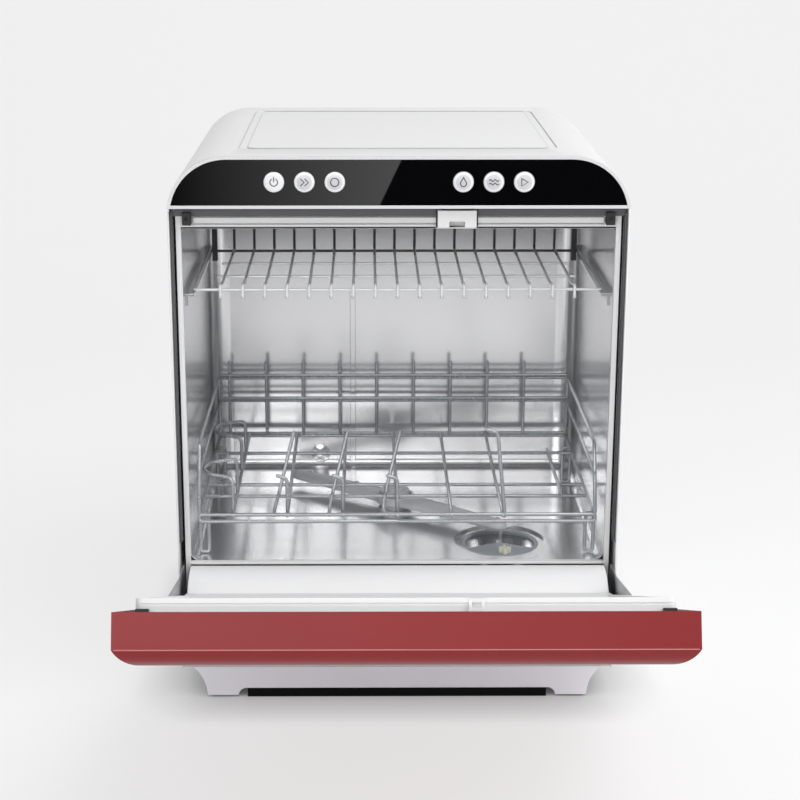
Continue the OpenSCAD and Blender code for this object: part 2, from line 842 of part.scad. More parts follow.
module drain_hose() {
    x0 = drain_pump_x - 8;
    y1 = body_d + cuff_l;
    color("black") {
        pipe([
            [x0, sump_y + 22, port_z], [x0, hose_y, port_z], [x0, hose_y, drain_z],
            [drain_x, hose_y, drain_z], [drain_x, y1, drain_z]
        ], hose_r, spigot_r);
        // cuff on the free end
        translate([drain_x, body_d, drain_z]) rotate([-90, 0, 0]) difference() {
            cylinder(h = cuff_l, r = cuff_r);
            translate([0, 0, -1]) cylinder(h = cuff_l + 2, r = spigot_r);
        }
    }
}

module inlet_valve() {
    color("white") difference() {
        union() {
            box(valve_x - 16, rear_y - 36, valve_z - valve_half,
                valve_x + 16, rear_y - 2, valve_z + valve_half);
            translate([valve_x, rear_y - 3, valve_z]) rotate([-90, 0, 0])
                cylinder(h = 3 + rear_t, r = neck_r);
            translate([valve_x, rear_y + rear_t, valve_z]) rotate([-90, 0, 0])
                cylinder(h = thread_l, r = thread_r);
            translate([valve_x, rear_y - 24, valve_z + valve_half - 1])
                cylinder(h = 14, r = spigot_r);
        }
        translate([valve_x, rear_y - 20, valve_z]) rotate([-90, 0, 0]) cylinder(h = 40, r = 8);
        translate([valve_x, rear_y - 24, valve_z]) cylinder(h = 40, r = spigot_r - 1.5);
    }
}

module inlet_hose() {
    y0 = rear_y - 24;
    color("black") pipe([
        [valve_x, y0, valve_z + valve_half + gap], [valve_x, y0, tub_z + 14],
        [valve_x, tub_back + tub_t, tub_z + 14]
    ], hose_r, spigot_r);
}

module cord_gland() {
    color("black") translate([gland_x, rear_y - 4, gland_z]) rotate([-90, 0, 0]) difference() {
        union() {
            cylinder(h = gland_l, r = gland_r - run_fit);
            cylinder(h = 4, r = 10);
            translate([0, 0, 4 + rear_t]) cylinder(h = 4, r = 10);
        }
        translate([0, 0, -1]) cylinder(h = gland_l + 2, r = cord_r);
    }
}

module terminal_block() {
    z0 = plinth_h + base_t;
    color("ivory") difference() {
        box(gland_x - 20, rear_y - 60, z0, gland_x + 20, rear_y - 30, z0 + 22);
        for (x = [-12, 0, 12]) translate([gland_x + x, rear_y - 45, z0 + 12])
            cylinder(h = 20, r = 3);
    }
}

module wiring_loom() {
    x = (half_tub + tub_t + inner_x) / 2;
    color("black") wire([
        [140, board_y + board_t, button_z], [140, board_y + 10, button_z],
        [x - 20, board_y + 30, button_z], [x, 60, button_z - 30], [x, rear_y - 45, button_z - 30],
        [x, rear_y - 45, plinth_h + 12], [gland_x + 20, rear_y - 45, plinth_h + 12]
    ], 3);
}

// ---- door ----

// Side outline of the door's outer panel in Y and Z, with its curved bevel.
module panel_profile(inset) {
    y1 = rim_y;
    y0 = rim_y - door_t + inset;
    z0 = door_z + inset;
    z1 = door_top - inset;
    bevel_r = (bevel_w * bevel_w + bevel_d * bevel_d) / (2 * bevel_d);
    difference() {
        translate([y0, z0]) square([y1 - y0 + (inset > 0 ? 1 : 0), z1 - z0]);
        for (m = [0, 1]) translate([0, m * (z0 + z1)]) mirror([0, m])
            bevel_cut(y0, z0, bevel_r - inset);
    }
}

// What the bevel takes off one corner at (y0, z0).
module bevel_cut(y0, z0, r) {
    difference() {
        translate([y0 - 1, z0 - 1]) square([bevel_d + 1, bevel_w + 1]);
        translate([y0 + r, z0 + bevel_w]) circle(r = r);
        translate([y0 + r, z0 - 2]) square([2 * r, bevel_w + 4]);
    }
}

// Plan outline of the panel in X and Y.
module panel_plan(inset) {
    y0 = rim_y - door_t + inset;
    x = door_w / 2 - inset;
    bevel_r = (bevel_w * bevel_w + bevel_d * bevel_d) / (2 * bevel_d);
    difference() {
        translate([-x, y0]) square([2 * x, door_t - inset + (inset > 0 ? 1 : 0)]);
        for (m = [0, 1]) mirror([m, 0]) mirror([1, -1])
            bevel_cut(y0, -x, bevel_r - inset);
    }
}

module panel_solid(inset) {
    intersection() {
        along_x(-door_w, 2 * door_w) panel_profile(inset);
        translate([0, 0, door_z - 10]) linear_extrude(door_h + 20) panel_plan(inset);
    }
}

module door_panel() {
    color("firebrick") swing() difference() {
        panel_solid(0);
        panel_solid(door_wall);
        // the inner lower corner is rounded about the hinge axis
        along_x(-door_w, 2 * door_w) translate([-hinge_y, hinge_z]) difference() {
            translate([0, -2 * hinge_y]) square(2 * hinge_y);
            circle(r = hinge_y + rim_y - 0.2);
        }
        // the lower edge is open round each hinge
        both_sides()
            box(half_tub - 2, rim_y - 24, door_z - 1, arm_x + arm_plate_t + 3, rim_y + 1, door_z + 4);
    }
}

module door_frame() {
    x = door_w / 2 - door_wall - gap;
    color("silver") swing() difference() {
        box(-x, door_frame_y, liner_bottom, x, liner_back, door_top - door_wall - gap);
        box(-x + 60, door_frame_y - 1, liner_bottom + 50, x - 60, liner_back + 1, liner_top - 50);
    }
}

// Side outline of the liner's middle, from its top down to the curved lip.
module liner_profile() {
    ramp_z = door_z + 160;
    floor_y = rim_y + 3;
    foot_y = liner_face + 2;
    polygon([
        [floor_y - liner_t, liner_top], [floor_y, liner_top], [floor_y, ramp_z],
        [foot_y, liner_bottom], [foot_y - 3, liner_bottom - 4],
        [foot_y - 3, hinge_z + lip_r - 3.5], [0, hinge_z + lip_r - 3.5],
        [0, hinge_z + lip_r - 1], [foot_y - liner_t, liner_bottom + 2],
        [floor_y - liner_t, ramp_z]
    ]);
    // lip about the hinge axis
    intersection() {
        translate([-hinge_y, hinge_z]) difference() {
            circle(r = lip_r, $fn = 128);
            circle(r = lip_r - lip_t, $fn = 128);
        }
        translate([-hinge_y, hinge_z]) polygon([
            [0, 0], [lip_r * 2, lip_r * 2 * tan(lip_end)], [lip_r * 2, lip_r * 2],
            [foot_y + hinge_y - 4, lip_r * 2]
        ]);
    }
}

module door_liner() {
    x = liner_w / 2;
    color("white") swing() difference() {
        union() {
            along_x(-half_tub + 1, tub_w - 2) liner_profile();
            // raised rim with rounded top corners
            upright(liner_back, liner_face - liner_back) difference() {
                round_rect(-x, liner_bottom, x, liner_top, 6);
                translate([-x + liner_rim, liner_bottom - 1])
                    square([2 * (x - liner_rim), liner_top - liner_bottom + 1 - liner_rim]);
            }
        }
        // fine groove along the end of the rim
        box(-x - 1, rim_y + 5, liner_top - 1, x + 1, rim_y + 6.2, liner_top + 1);
        // room beside the rim for the hinge arms
        both_sides() box(arm_x - gap, liner_back - 1, liner_bottom - 1, arm_x + arm_plate_t + 1,
                         liner_face + 1, arm_top + gap);
    }
}

// The point in Y and Z at the distance r from the hinge axis, at the angle a from +Y.
function at_hinge(r, a) = [-hinge_y + r * cos(a), hinge_z + r * sin(a)];

// Hinge arm on the side s: a plate that slides into the cabinet as the door closes.
module hinge_arm(s) {
    color("gray") swing() scale_x(s) difference() {
        union() {
            translate([arm_x, -hinge_y, hinge_z]) rotate([0, 90, 0])
                cylinder(h = arm_plate_t, r = 11);
            along_x(arm_x, arm_plate_t) polygon([
                at_hinge(8, -90), [liner_back, liner_bottom - 20], [liner_back, arm_top],
                [liner_face - 0.8, arm_top], at_hinge(55, 51.5), at_hinge(47.5, 12.5),
                at_hinge(42, 5)
            ]);
        }
        translate([arm_x - 1, -hinge_y, hinge_z]) rotate([0, 90, 0])
            cylinder(h = arm_plate_t + 2, r = hinge_pin_r + run_fit);
    }
}

// Hinge bracket on the side s, fixed to the frame's post.
module hinge_bracket(s) {
    x1 = half_tub + post_w;
    color("silver") scale_x(s) difference() {
        union() {
            along_x(x1 - 4, 4) {
                translate([-hinge_y, hinge_z]) circle(r = 9);
                translate([-hinge_y, hinge_z - 9]) square([hinge_y + front_y, 18]);
            }
        }
        translate([x1 - 10, -hinge_y, hinge_z]) rotate([0, 90, 0])
            cylinder(h = 20, r = hinge_pin_r);
    }
}

module hinge_pins() {
    x0 = half_tub + post_w - 6;
    color("silver") both_sides() translate([x0, -hinge_y, hinge_z]) rotate([0, 90, 0]) {
        cylinder(h = arm_x + arm_plate_t + 0.4 - x0, r = hinge_pin_r);
        translate([0, 0, arm_x + arm_plate_t + 0.3 - x0]) cylinder(h = 1.5, r = hinge_pin_r + 2);
    }
}

module door_bumpers() {
    color("black") swing() both_sides()
        box(liner_w / 2 - 11, liner_back, liner_top, liner_w / 2 - 1, 1.7, liner_top + 8);
}

module strike_plate() {
    color("silver") swing() difference() {
        union() {
            box(lock_x - strike_w / 2, liner_back, strike_z, lock_x + strike_w / 2, 8.5,
                strike_z + strike_t);
            box(lock_x - strike_w / 2, liner_back, liner_top, lock_x + strike_w / 2,
                liner_back + strike_t, strike_z + strike_t);
        }
        box(lock_x - bolt_w / 2 - 1, 2, strike_z - 1, lock_x + bolt_w / 2 + 1, 7,
            strike_z + strike_t + 1);
    }
}

// ---- racks ----

module upper_rack() {
    z = shelf_top;
    long = shelf_top + thin_r;
    y1 = shelf_back;
    x = half_shelf - thin_r;
    count = floor((half_shelf - 20) / shelf_pitch);
    color("silver") {
        // outer wire
        wire([[-x, y1, z], [-x, shelf_y, z], [x, shelf_y, z], [x, y1, z]], thin_r);
        wire([[-x, y1, z], [x, y1, z]], thin_r);
        // two cross wires under the long wires
        for (f = [1 / 3, 2 / 3]) let (y = shelf_y + f * shelf_d)
            wire([[-x + 20, y, z - 0.6], [x - 20, y, z - 0.6]], thin_r);
        // long wires, hooked down in front and standing up behind
        for (i = [-count : count]) let (wx = i * shelf_pitch)
            wire([[wx, shelf_y - 4, z - 7], [wx, shelf_y - 3, long], [wx, y1 + 2, long],
                 [wx, y1 + 2, z + fence_up]], thin_r);
    }
}

module rack_clips() {
    z = shelf_top;
    y1 = shelf_back;
    color("black") both_sides() difference() {
        box(rail_x - 6, y1 - 3, z - 10, rail_x - 2 * gap, y1 + 3, z + fence_up + 2);
        rod([0, y1, z], [half_shelf, y1, z], thin_r, $fn = 8);
    }
}

// The ledge on the tub's side wall s that carries the upper rack.
module upper_rail(s) {
    z1 = shelf_top - thin_r - gap;
    color("lightgray") scale_x(s) {
        box(rail_x, tub_y + 24, z1 - 3, half_tub, tub_back - 30, z1);
        box(half_tub - 2, tub_y + 24, z1 - 12, half_tub, tub_back - 30, z1);
    }
}

// The lower rack's floor on its four looped legs.
module lower_rack() {
    z = rack_z;
    y0 = rack_y;
    y1 = rack_back;
    x = side_x;
    foot = tub_z + gap + wire_r;
    color("silver") {
        // frame and the second wire along the front
        wire([[-x, y1, z], [-x, y0, z], [x, y0, z], [x, y1, z]], wire_r);
        wire([[-x, y0 + 22, long_z], [-x, y0 + 1, front_z], [x, y0 + 1, front_z],
             [x, y0 + 22, long_z]], wire_r);
        // cross wires
        for (y = cross_ys) wire([[-x, y, z], [x, y, z]], wire_r);
        wire([[-x, y1, long_z], [x, y1, long_z]], wire_r);
        // long wires
        for (wx = floor_xs) wire([[wx, y0, long_z], [wx, y1, long_z]], wire_r);
        // legs, each a loop down from the frame and back up to it
        both_sides() for (y = leg_ys) wire([[x, y, z], [x, y, foot], [x - leg_w, y, foot],
                                           [x - leg_w, y, z], [x, y, z]], wire_r);
    }
}

// What stands on the lower rack's floor: fence, side rails, tines and cup loops.
module rack_uprights() {
    color("silver") {
        rack_fence();
        rack_tines();
    }
}

// The fence along the back of the lower rack and the rails along its sides.
module rack_fence() {
    y0 = rack_y;
    y1 = rack_back;
    x = side_x - wire_r - gap;
    fence_pitch = 40;
    fence_x = 18;
    for (z = [tine_z, rail_z], y = [y1 - 5, y1 + 1]) wire([[-x, y, z], [x, y, z]], wire_r);
    for (i = [-4 : 4]) let (wx = i * fence_pitch - fence_x)
        wire([[wx, y1 - 2, deck_z], [wx, y1 - 2, tip_z]], wire_r);
    both_sides() {
        wire([[side_x, y1, deck_z], [side_x, y1 - 5, rail_z], [side_x, y0 + 24, rail_z],
             [side_x, y0 + 1, front_z + 1.6 * wire_r + gap]], wire_r);
        wire([[side_x, y1 - 3, tine_z], [side_x, y0 + 12, tine_z]], wire_r);
    }
}

// The tines and cup loops that stand on the lower rack's floor.
module rack_tines() {
    y0 = rack_y;
    tine_y = y0 + 9;
    // the loops are welded to the left side rail
    loop_x = -side_x + 1.2 * wire_r;
    // front tines, bent over at the top
    for (x = [floor_xs[1], floor_xs[2], floor_xs[3]])
        wire([[x, tine_y, deck_z], [x, tine_y, tine_z], [x - 7, tine_y, tine_z + 3]], wire_r);
    // cup loops on the left
    for (y = [tine_y, y0 + 135]) let (x = floor_xs[0])
        wire([[x, y, deck_z], [x, y, tine_z], [loop_x + 6, y + 12, tine_z],
             [loop_x, y + 30, tine_z], [loop_x + 6, y + 48, tine_z], [x, y + 60, tine_z],
             [x, y + 60, deck_z]], wire_r);
    // leaning tines in the middle
    for (x = [floor_xs[1], floor_xs[2], floor_xs[3]])
        wire([[x - 11, cross_ys[0] - 0.5, rack_z + 2.5], [x + 4, y0 + 76, rack_z + 62]], wire_r);
    // tall upright on the right
    let (x = floor_xs[5])
        wire([[x, y0 + 5, deck_z + 0.2], [x - 7, y0 + 5, tip_z - 1], [x - 17, y0 + 5, tip_z + 2]],
             wire_r);
}

module panel_screws() {
    inset = 15;
    rows = [plinth_h + 28, body_h / 2 - 4, body_h - 68];
    color("gray") for (x = [-half_w + inset, half_w - inset], z = rows)
        translate([x, rear_y + rear_t, z]) rotate([-90, 0, 0]) cylinder(h = 1.8, r = 4);
}

outer_shell();
rear_panel();
base_plinth();
base_pan();
rubber_feet();
kick_panel();
front_frame();
door_gasket();
frame_stop(-1);  // frame_stop_left
frame_stop(1);  // frame_stop_right
fascia_bezel();
control_glass();
button(0);  // power_button
button(1);  // quick_button
button(2);  // normal_button
button(3);  // strong_button
button(4);  // dry_button
button(5);  // start_button
control_board();
lock_housing();
lock_solenoid();
lock_bolt();
tub();
sump();
filter_basket();
filter_knob();
spray_hub();
spray_arm();
spray_nut();
wash_pump_housing();
wash_pump_motor();
wash_impeller();
flow_heater();
drain_pump();
drain_impeller();
sump_hose();
spray_hose();
drain_hose();
inlet_hose();
inlet_valve();
cord_gland();
terminal_block();
wiring_loom();
door_panel();
door_liner();
door_frame();
hinge_arm(-1);  // hinge_arm_left
hinge_arm(1);  // hinge_arm_right
hinge_bracket(-1);  // hinge_bracket_left
hinge_bracket(1);  // hinge_bracket_right
hinge_pins();
door_bumpers();
strike_plate();
upper_rack();
rack_clips();
upper_rail(-1);  // upper_rail_left
upper_rail(1);  // upper_rail_right
lower_rack();
rack_uprights();
panel_screws();
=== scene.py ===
import json
import math

import bmesh
import bpy
from mathutils import Matrix, Vector


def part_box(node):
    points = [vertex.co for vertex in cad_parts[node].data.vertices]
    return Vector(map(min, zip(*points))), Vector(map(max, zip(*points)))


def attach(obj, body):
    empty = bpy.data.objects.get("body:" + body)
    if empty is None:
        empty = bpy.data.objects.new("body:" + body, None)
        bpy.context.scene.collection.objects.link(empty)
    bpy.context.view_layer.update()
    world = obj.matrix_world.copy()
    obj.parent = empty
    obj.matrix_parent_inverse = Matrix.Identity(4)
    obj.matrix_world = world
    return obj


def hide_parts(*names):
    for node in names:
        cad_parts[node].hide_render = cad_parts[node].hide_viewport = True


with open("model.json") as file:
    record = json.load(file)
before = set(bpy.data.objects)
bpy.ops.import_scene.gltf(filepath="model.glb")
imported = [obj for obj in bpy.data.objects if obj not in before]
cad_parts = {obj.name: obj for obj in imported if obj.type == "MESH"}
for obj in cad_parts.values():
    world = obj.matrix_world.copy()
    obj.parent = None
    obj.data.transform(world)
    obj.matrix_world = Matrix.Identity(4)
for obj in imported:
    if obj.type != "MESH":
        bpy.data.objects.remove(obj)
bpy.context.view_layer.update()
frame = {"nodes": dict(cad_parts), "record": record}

MM = 0.001
record = frame["record"]
BODY_OF = {node: body for body, nodes in record["behaviour"]["bodies"].items() for node in nodes}
SLOT_OF = {part["node"]: part["material_slot"] for part in record["subparts"]}

# ---- camera ----

CAMERA_PLACE = (-0.030, -1.582, 0.758)
CAMERA_PITCH = math.radians(16.09)
CAMERA_YAW = math.radians(0.30)
CAMERA_SHIFT = 0.0317
LENS = 80.2
SENSOR = 36.0


def make_camera():
    """The camera of the main view, with its picture shifted sideways to keep the lines level."""
    data = bpy.data.cameras.new("camera")
    data.lens = LENS
    data.sensor_width = SENSOR
    data.shift_x = CAMERA_SHIFT
    data.clip_start = 0.05
    camera = bpy.data.objects.new("camera", data)
    camera.location = CAMERA_PLACE
    camera.rotation_euler = (math.pi / 2 - CAMERA_PITCH, 0, -CAMERA_YAW)
    bpy.context.scene.collection.objects.link(camera)
    bpy.context.scene.camera = camera


# ---- materials ----

# the sockets of a Mix node that mixes colours
MIX_SHARE, MIX_FIRST, MIX_SECOND, MIX_RESULT = 0, 6, 7, 2
# most of a noise's values lie between these two
NOISE_LOW, NOISE_HIGH = 0.3, 0.7
COAT_ROUGHNESS = 0.08
RELIEF_DEPTH = 0.0001


def add_noise(nodes, links, vector, scale, detail=4.0):
    """Adds a noise over the given coordinates."""
    noise = nodes.new("ShaderNodeTexNoise")
    noise.inputs["Scale"].default_value = scale
    noise.inputs["Detail"].default_value = detail
    links.new(vector, noise.inputs["Vector"])
    return noise


def add_range(nodes, links, value, low, high):
    """Adds a node that brings a noise's values between low and high, and gives its result."""
    ranged = nodes.new("ShaderNodeMapRange")
    ranged.inputs["From Min"].default_value = NOISE_LOW
    ranged.inputs["From Max"].default_value = NOISE_HIGH
    ranged.inputs["To Min"].default_value = low
    ranged.inputs["To Max"].default_value = high
    links.new(value, ranged.inputs["Value"])
    return ranged.outputs["Result"]


def surface(name, tone, rough, metallic=0.0, coat=0.0, change=0.04, cloud=9.0, grain=900.0,
            stretch=(1, 1, 1), bump=0.05, specular=0.5, spread=0.12):
    """A finish with a slow change of tone, and a fine grain in its roughness and relief."""
    mat = bpy.data.materials.new(name)
    mat.use_nodes = True
    nodes, links = mat.node_tree.nodes, mat.node_tree.links
    shader = nodes["Principled BSDF"]
    shader.inputs["Metallic"].default_value = metallic
    shader.inputs["Coat Weight"].default_value = coat
    shader.inputs["Coat Roughness"].default_value = COAT_ROUGHNESS
    shader.inputs["Specular IOR Level"].default_value = specular
    place = nodes.new("ShaderNodeTexCoord")
    mapping = nodes.new("ShaderNodeMapping")
    mapping.inputs["Scale"].default_value = stretch
    links.new(place.outputs["Object"], mapping.inputs["Vector"])

    clouds = add_noise(nodes, links, place.outputs["Object"], cloud)
    mix = nodes.new("ShaderNodeMix")
    mix.data_type = "RGBA"
    mix.inputs[MIX_FIRST].default_value = [c * (1 - change) for c in tone] + [1]
    mix.inputs[MIX_SECOND].default_value = [min(1.0, c * (1 + change)) for c in tone] + [1]
    links.new(clouds.outputs["Fac"], mix.inputs[MIX_SHARE])
    links.new(mix.outputs[MIX_RESULT], shader.inputs["Base Color"])

    fine = add_noise(nodes, links, mapping.outputs["Vector"], grain, 2.0)
    ranged = add_range(nodes, links, fine.outputs["Fac"], rough * (1 - spread),
                       min(1.0, rough * (1 + spread)))
    links.new(ranged, shader.inputs["Roughness"])
    relief = nodes.new("ShaderNodeBump")
    relief.inputs["Strength"].default_value = bump
    relief.inputs["Distance"].default_value = RELIEF_DEPTH
    links.new(fine.outputs["Fac"], relief.inputs["Height"])
    links.new(relief.outputs["Normal"], shader.inputs["Normal"])
    return mat


MATERIALS = {
    "white_enamel": surface("white_enamel", (0.80, 0.80, 0.805), 0.32, coat=0.2, change=0.006,
                            grain=500, bump=0.03),
    "white_plastic": surface("white_plastic", (0.76, 0.76, 0.76), 0.32, coat=0.15, change=0.01,
                             grain=700, bump=0.08),
    "plinth_plastic": surface("plinth_plastic", (0.86, 0.88, 0.93), 0.42, change=0.02, grain=1400,
                              bump=0.16),
    "galvanised_steel": surface("galvanised_steel", (0.46, 0.47, 0.48), 0.40, metallic=1.0,
                                change=0.12, cloud=60, grain=500, bump=0.08),
    "stainless_steel": surface("stainless_steel", (0.83, 0.83, 0.84), 0.20, metallic=0.93,
                               change=0.02, cloud=5, grain=60, stretch=(0.5, 5, 9), bump=0.001,
                               spread=0.03),
    "black_rubber": surface("black_rubber", (0.012, 0.012, 0.012), 0.55, grain=1600, bump=0.2),
    "grey_rubber": surface("grey_rubber", (0.085, 0.085, 0.09), 0.60, grain=1600, bump=0.2),
    "black_glass": surface("black_glass", (0.002, 0.002, 0.0025), 0.012, change=0.0, grain=40,
                           bump=0.004, specular=1.0),
    "button_white": surface("button_white", (0.80, 0.80, 0.81), 0.25, coat=0.5, change=0.01,
                            grain=1500, bump=0.03),
    "red_panel": surface("red_panel", (0.225, 0.011, 0.013), 0.36, coat=0.03, change=0.05, cloud=5,
                         grain=90, stretch=(0.2, 8, 18), bump=0.03, specular=0.35),
    "liner_white": surface("liner_white", (0.86, 0.86, 0.865), 0.42, change=0.01, grain=400,
                           bump=0.05, specular=0.2),
    "wire_coat": surface("wire_coat", (0.40, 0.42, 0.43), 0.26, metallic=0.55, coat=0.5,
                         change=0.08, cloud=40, grain=900, bump=0.1),
    "arm_grey": surface("arm_grey", (0.62, 0.63, 0.65), 0.34, coat=0.2, change=0.02, grain=1200,
                        bump=0.12),
    "filter_grey": surface("filter_grey", (0.40, 0.43, 0.47), 0.38, coat=0.1, change=0.03,
                           grain=1200, bump=0.12),
    "ivory_plastic": surface("ivory_plastic", (0.78, 0.76, 0.66), 0.34, coat=0.2, change=0.02,
                             grain=1200, bump=0.1),
    "dark_plastic": surface("dark_plastic", (0.018, 0.018, 0.02), 0.42, grain=1400, bump=0.25),
    "circuit_board": surface("circuit_board", (0.015, 0.12, 0.045), 0.35, coat=0.4, change=0.1,
                             cloud=120, grain=600, bump=0.1),
    "coil_copper": surface("coil_copper", (0.62, 0.28, 0.12), 0.3, metallic=1.0, grain=300,
                           stretch=(0.2, 1, 12), bump=0.3),
    "bright_steel": surface("bright_steel", (0.62, 0.62, 0.63), 0.20, metallic=1.0, grain=800,
                            bump=0.05),
}
BUTTON_CENTRE = surface("button_centre", (0.60, 0.60, 0.62), 0.3, coat=0.4, change=0.01,
                        grain=1500, bump=0.03)
BALL_TIP = surface("ball_tip", (0.74, 0.75, 0.76), 0.2, metallic=0.4, coat=0.5, change=0.02,
                   grain=1500, bump=0.03)
# a lighter red for the line along the door's edge: a painted highlight
RED_HIGHLIGHT = surface("red_highlight", (0.50, 0.17, 0.17), 0.34, coat=0.2, change=0.04, cloud=5, grain=300,
                   bump=0.03)
# grey for the lines along the edges of the pressed band on the top: painted shade
PRESS_SHADE = surface("press_shade", (0.50, 0.50, 0.505), 0.4, change=0.02, grain=700, bump=0.03)
# a darker copy of the white plastic for the frame's pads and lips and the fascia's bezel: painted
# shade
SHADED_WHITE = surface("shaded_white", (0.66, 0.66, 0.665), 0.34, coat=0.1, change=0.01, grain=700,
                    bump=0.06)
# near black for the painted shade in the plinth's arches
SHADE_BLACK = surface("shade_black", (0.004, 0.004, 0.004), 0.7, grain=1200, bump=0.1,
                      specular=0.08)
MARK_INK = surface("mark_ink", (0.012, 0.012, 0.014), 0.5, grain=1500, bump=0.05)
# two copies of the upper rack's wire finish: a dark one at the back as painted shade, a light one
# in front as painted light
SHADED_WIRE = surface("shaded_wire", (0.02, 0.021, 0.022), 0.32, coat=0.5, change=0.1, cloud=40,
                    grain=900, bump=0.1)
LIT_WIRE = surface("lit_wire", (0.84, 0.85, 0.86), 0.24, metallic=0.25, coat=0.4,
                      change=0.05, cloud=40, grain=900, bump=0.06)

# ---- mesh helpers ----


# in a copied node, points closer than this are joined, in metres, and flat faces are merged
WELD = 2e-6
FLAT_ANGLE = math.radians(0.4)
# edges sharper than this stay sharp, in degrees
LATHE_ANGLE = 30
WIRE_ANGLE = 60


def new_piece(name, bm, material, smooth_angle=35.0):
    """Makes an object of a bmesh, with smooth faces that meet sharply past an angle."""
    bmesh.ops.recalc_face_normals(bm, faces=bm.faces)
    mesh = bpy.data.meshes.new(name)
    bm.to_mesh(mesh)
    bm.free()
    piece = bpy.data.objects.new(name, mesh)
    bpy.context.scene.collection.objects.link(piece)
    mesh.materials.append(material)
    mesh.shade_smooth()
    mesh.set_sharp_from_angle(angle=math.radians(smooth_angle))
    return piece


def apply_modifiers(piece):
    """Makes the outcome of a piece's modifiers its mesh."""
    bpy.context.view_layer.update()
    graph = bpy.context.evaluated_depsgraph_get()
    mesh = bpy.data.meshes.new_from_object(piece.evaluated_get(graph))
    piece.modifiers.clear()
    piece.data = mesh


def dress(piece, node):
    """The piece stands for a node: it rides with it, and the node is hidden."""
    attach(piece, BODY_OF[node])
    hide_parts(node)


def add_on(piece, node):
    """The piece is an extra on a node: it rides with it."""
    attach(piece, BODY_OF[node])


def round_edges(piece, width, segments=3, angle=32.0):
    """Rounds the edges that are sharper than an angle, by a width in millimetres."""
    rounding = piece.modifiers.new("rounding", "BEVEL")
    rounding.width = width * MM
    rounding.segments = segments
    rounding.limit_method = "ANGLE"
    rounding.angle_limit = math.radians(angle)
    rounding.use_clamp_overlap = True
    rounding.harden_normals = True
    apply_modifiers(piece)


def softened(node, width, segments=2, material=None, angle=32.0):
    """A copy of a node whose sharp edges are rounded, which stands for the node."""
    bm = bmesh.new()
    bm.from_mesh(frame["nodes"][node].data)
    bmesh.ops.remove_doubles(bm, verts=bm.verts, dist=WELD)
    bmesh.ops.dissolve_limit(bm, angle_limit=FLAT_ANGLE, verts=bm.verts, edges=bm.edges)
    piece = new_piece(node + "_finish", bm, material or MATERIALS[SLOT_OF[node]], angle)
    round_edges(piece, width, segments, angle)
    dress(piece, node)
    return piece


def skin(bm, rings):
    """Covers a row of rings with faces and closes both ends."""
    sides = len(rings[0])
    for low, high in zip(rings, rings[1:]):
        for k in range(sides):
            bm.faces.new((low[k], low[(k + 1) % sides], high[(k + 1) % sides], high[k]))
    bm.faces.new(list(reversed(rings[0])))
    bm.faces.new(rings[-1])


def ring_frames(points):
    """A frame at each point of a path, carried along without twist."""
    count = len(points)
    frames = []
    across = None
    for i in range(count):
        ahead = points[min(i + 1, count - 1)] - points[max(i - 1, 0)]
        ahead.normalize()
        if across is None:
            helper = Vector((0, 0, 1)) if abs(ahead.z) < 0.9 else Vector((0, 1, 0))
            across = ahead.cross(helper).normalized()
        else:
            across = (across - ahead * across.dot(ahead)).normalized()
        frames.append((across, ahead.cross(across).normalized(), ahead))
    return frames


# the rings in a wire's tip, as shares of its radius
DOME = (0.25, 0.6, 0.87)


def add_tube(bm, points, radius, sides=12):
    """Adds a round wire along a path, with domed tips."""
    frames = ring_frames(points)
    rings = []
    first, last = frames[0], frames[-1]
    stations = []
    for s in DOME:
        stations.append((points[0] - first[2] * radius * math.sqrt(1 - s * s), s, first))
    stations += [(p, 1.0, f) for p, f in zip(points, frames)]
    for s in reversed(DOME):
        stations.append((points[-1] + last[2] * radius * math.sqrt(1 - s * s), s, last))
    for centre, share, (across, up, _) in stations:
        ring = []
        for k in range(sides):
            turn = 2 * math.pi * k / sides
            offset = across * math.cos(turn) + up * math.sin(turn)
            ring.append(bm.verts.new(centre + offset * radius * share))
        rings.append(ring)
    skin(bm, rings)


BEND_STEPS = 5
BEND_SHARE = 0.48


def rounded_path(points, radius):
    """A path in millimetres, given back in metres with its corners rounded. A bend takes no
    more than a share of the legs that meet in it."""
    points = [Vector(p) * MM for p in points]
    out = [points[0]]
    for before, corner, after in zip(points, points[1:], points[2:]):
        to_before = before - corner
        to_after = after - corner
        reach = min(radius * MM, BEND_SHARE * to_before.length, BEND_SHARE * to_after.length)
        start = corner + to_before.normalized() * reach
        end = corner + to_after.normalized() * reach
        for i in range(BEND_STEPS + 1):
            t = i / BEND_STEPS
            out.append(start * (1 - t) ** 2 + corner * 2 * t * (1 - t) + end * t * t)
    out.append(points[-1])
    return out


def wires(name, paths, radius, material, bend):
    """One mesh of several round wires, with sizes in millimetres."""
    bm = bmesh.new()
    for path in paths:
        add_tube(bm, rounded_path(path, bend), radius * MM)
    return new_piece(name, bm, material, WIRE_ANGLE)


def add_lathe(bm, profile, centre, axis="z", sides=64):
    """Turns a profile of (radius, height) pairs in millimetres about the Z or the Y axis."""
    turn = {"z": Matrix.Identity(3), "y": Matrix.Rotation(-math.pi / 2, 3, "X")}[axis]
    rings = []
    for radius, height in profile:
        ring = []
        for k in range(sides):
            angle = 2 * math.pi * k / sides
            local = Vector((radius * math.cos(angle), radius * math.sin(angle), height))
            ring.append(bm.verts.new((Vector(centre) + turn @ local) * MM))
        rings.append(ring)
    skin(bm, rings)


def lathe(name, profile, centre, material):
    """A piece of one profile turned about the Y axis."""
    bm = bmesh.new()
    add_lathe(bm, profile, centre, "y")
    return new_piece(name, bm, material, LATHE_ANGLE)


BLOCK_FACES = ((0, 1, 3, 2), (4, 6, 7, 5), (0, 4, 5, 1), (2, 3, 7, 6), (0, 2, 6, 4),
               (1, 5, 7, 3))


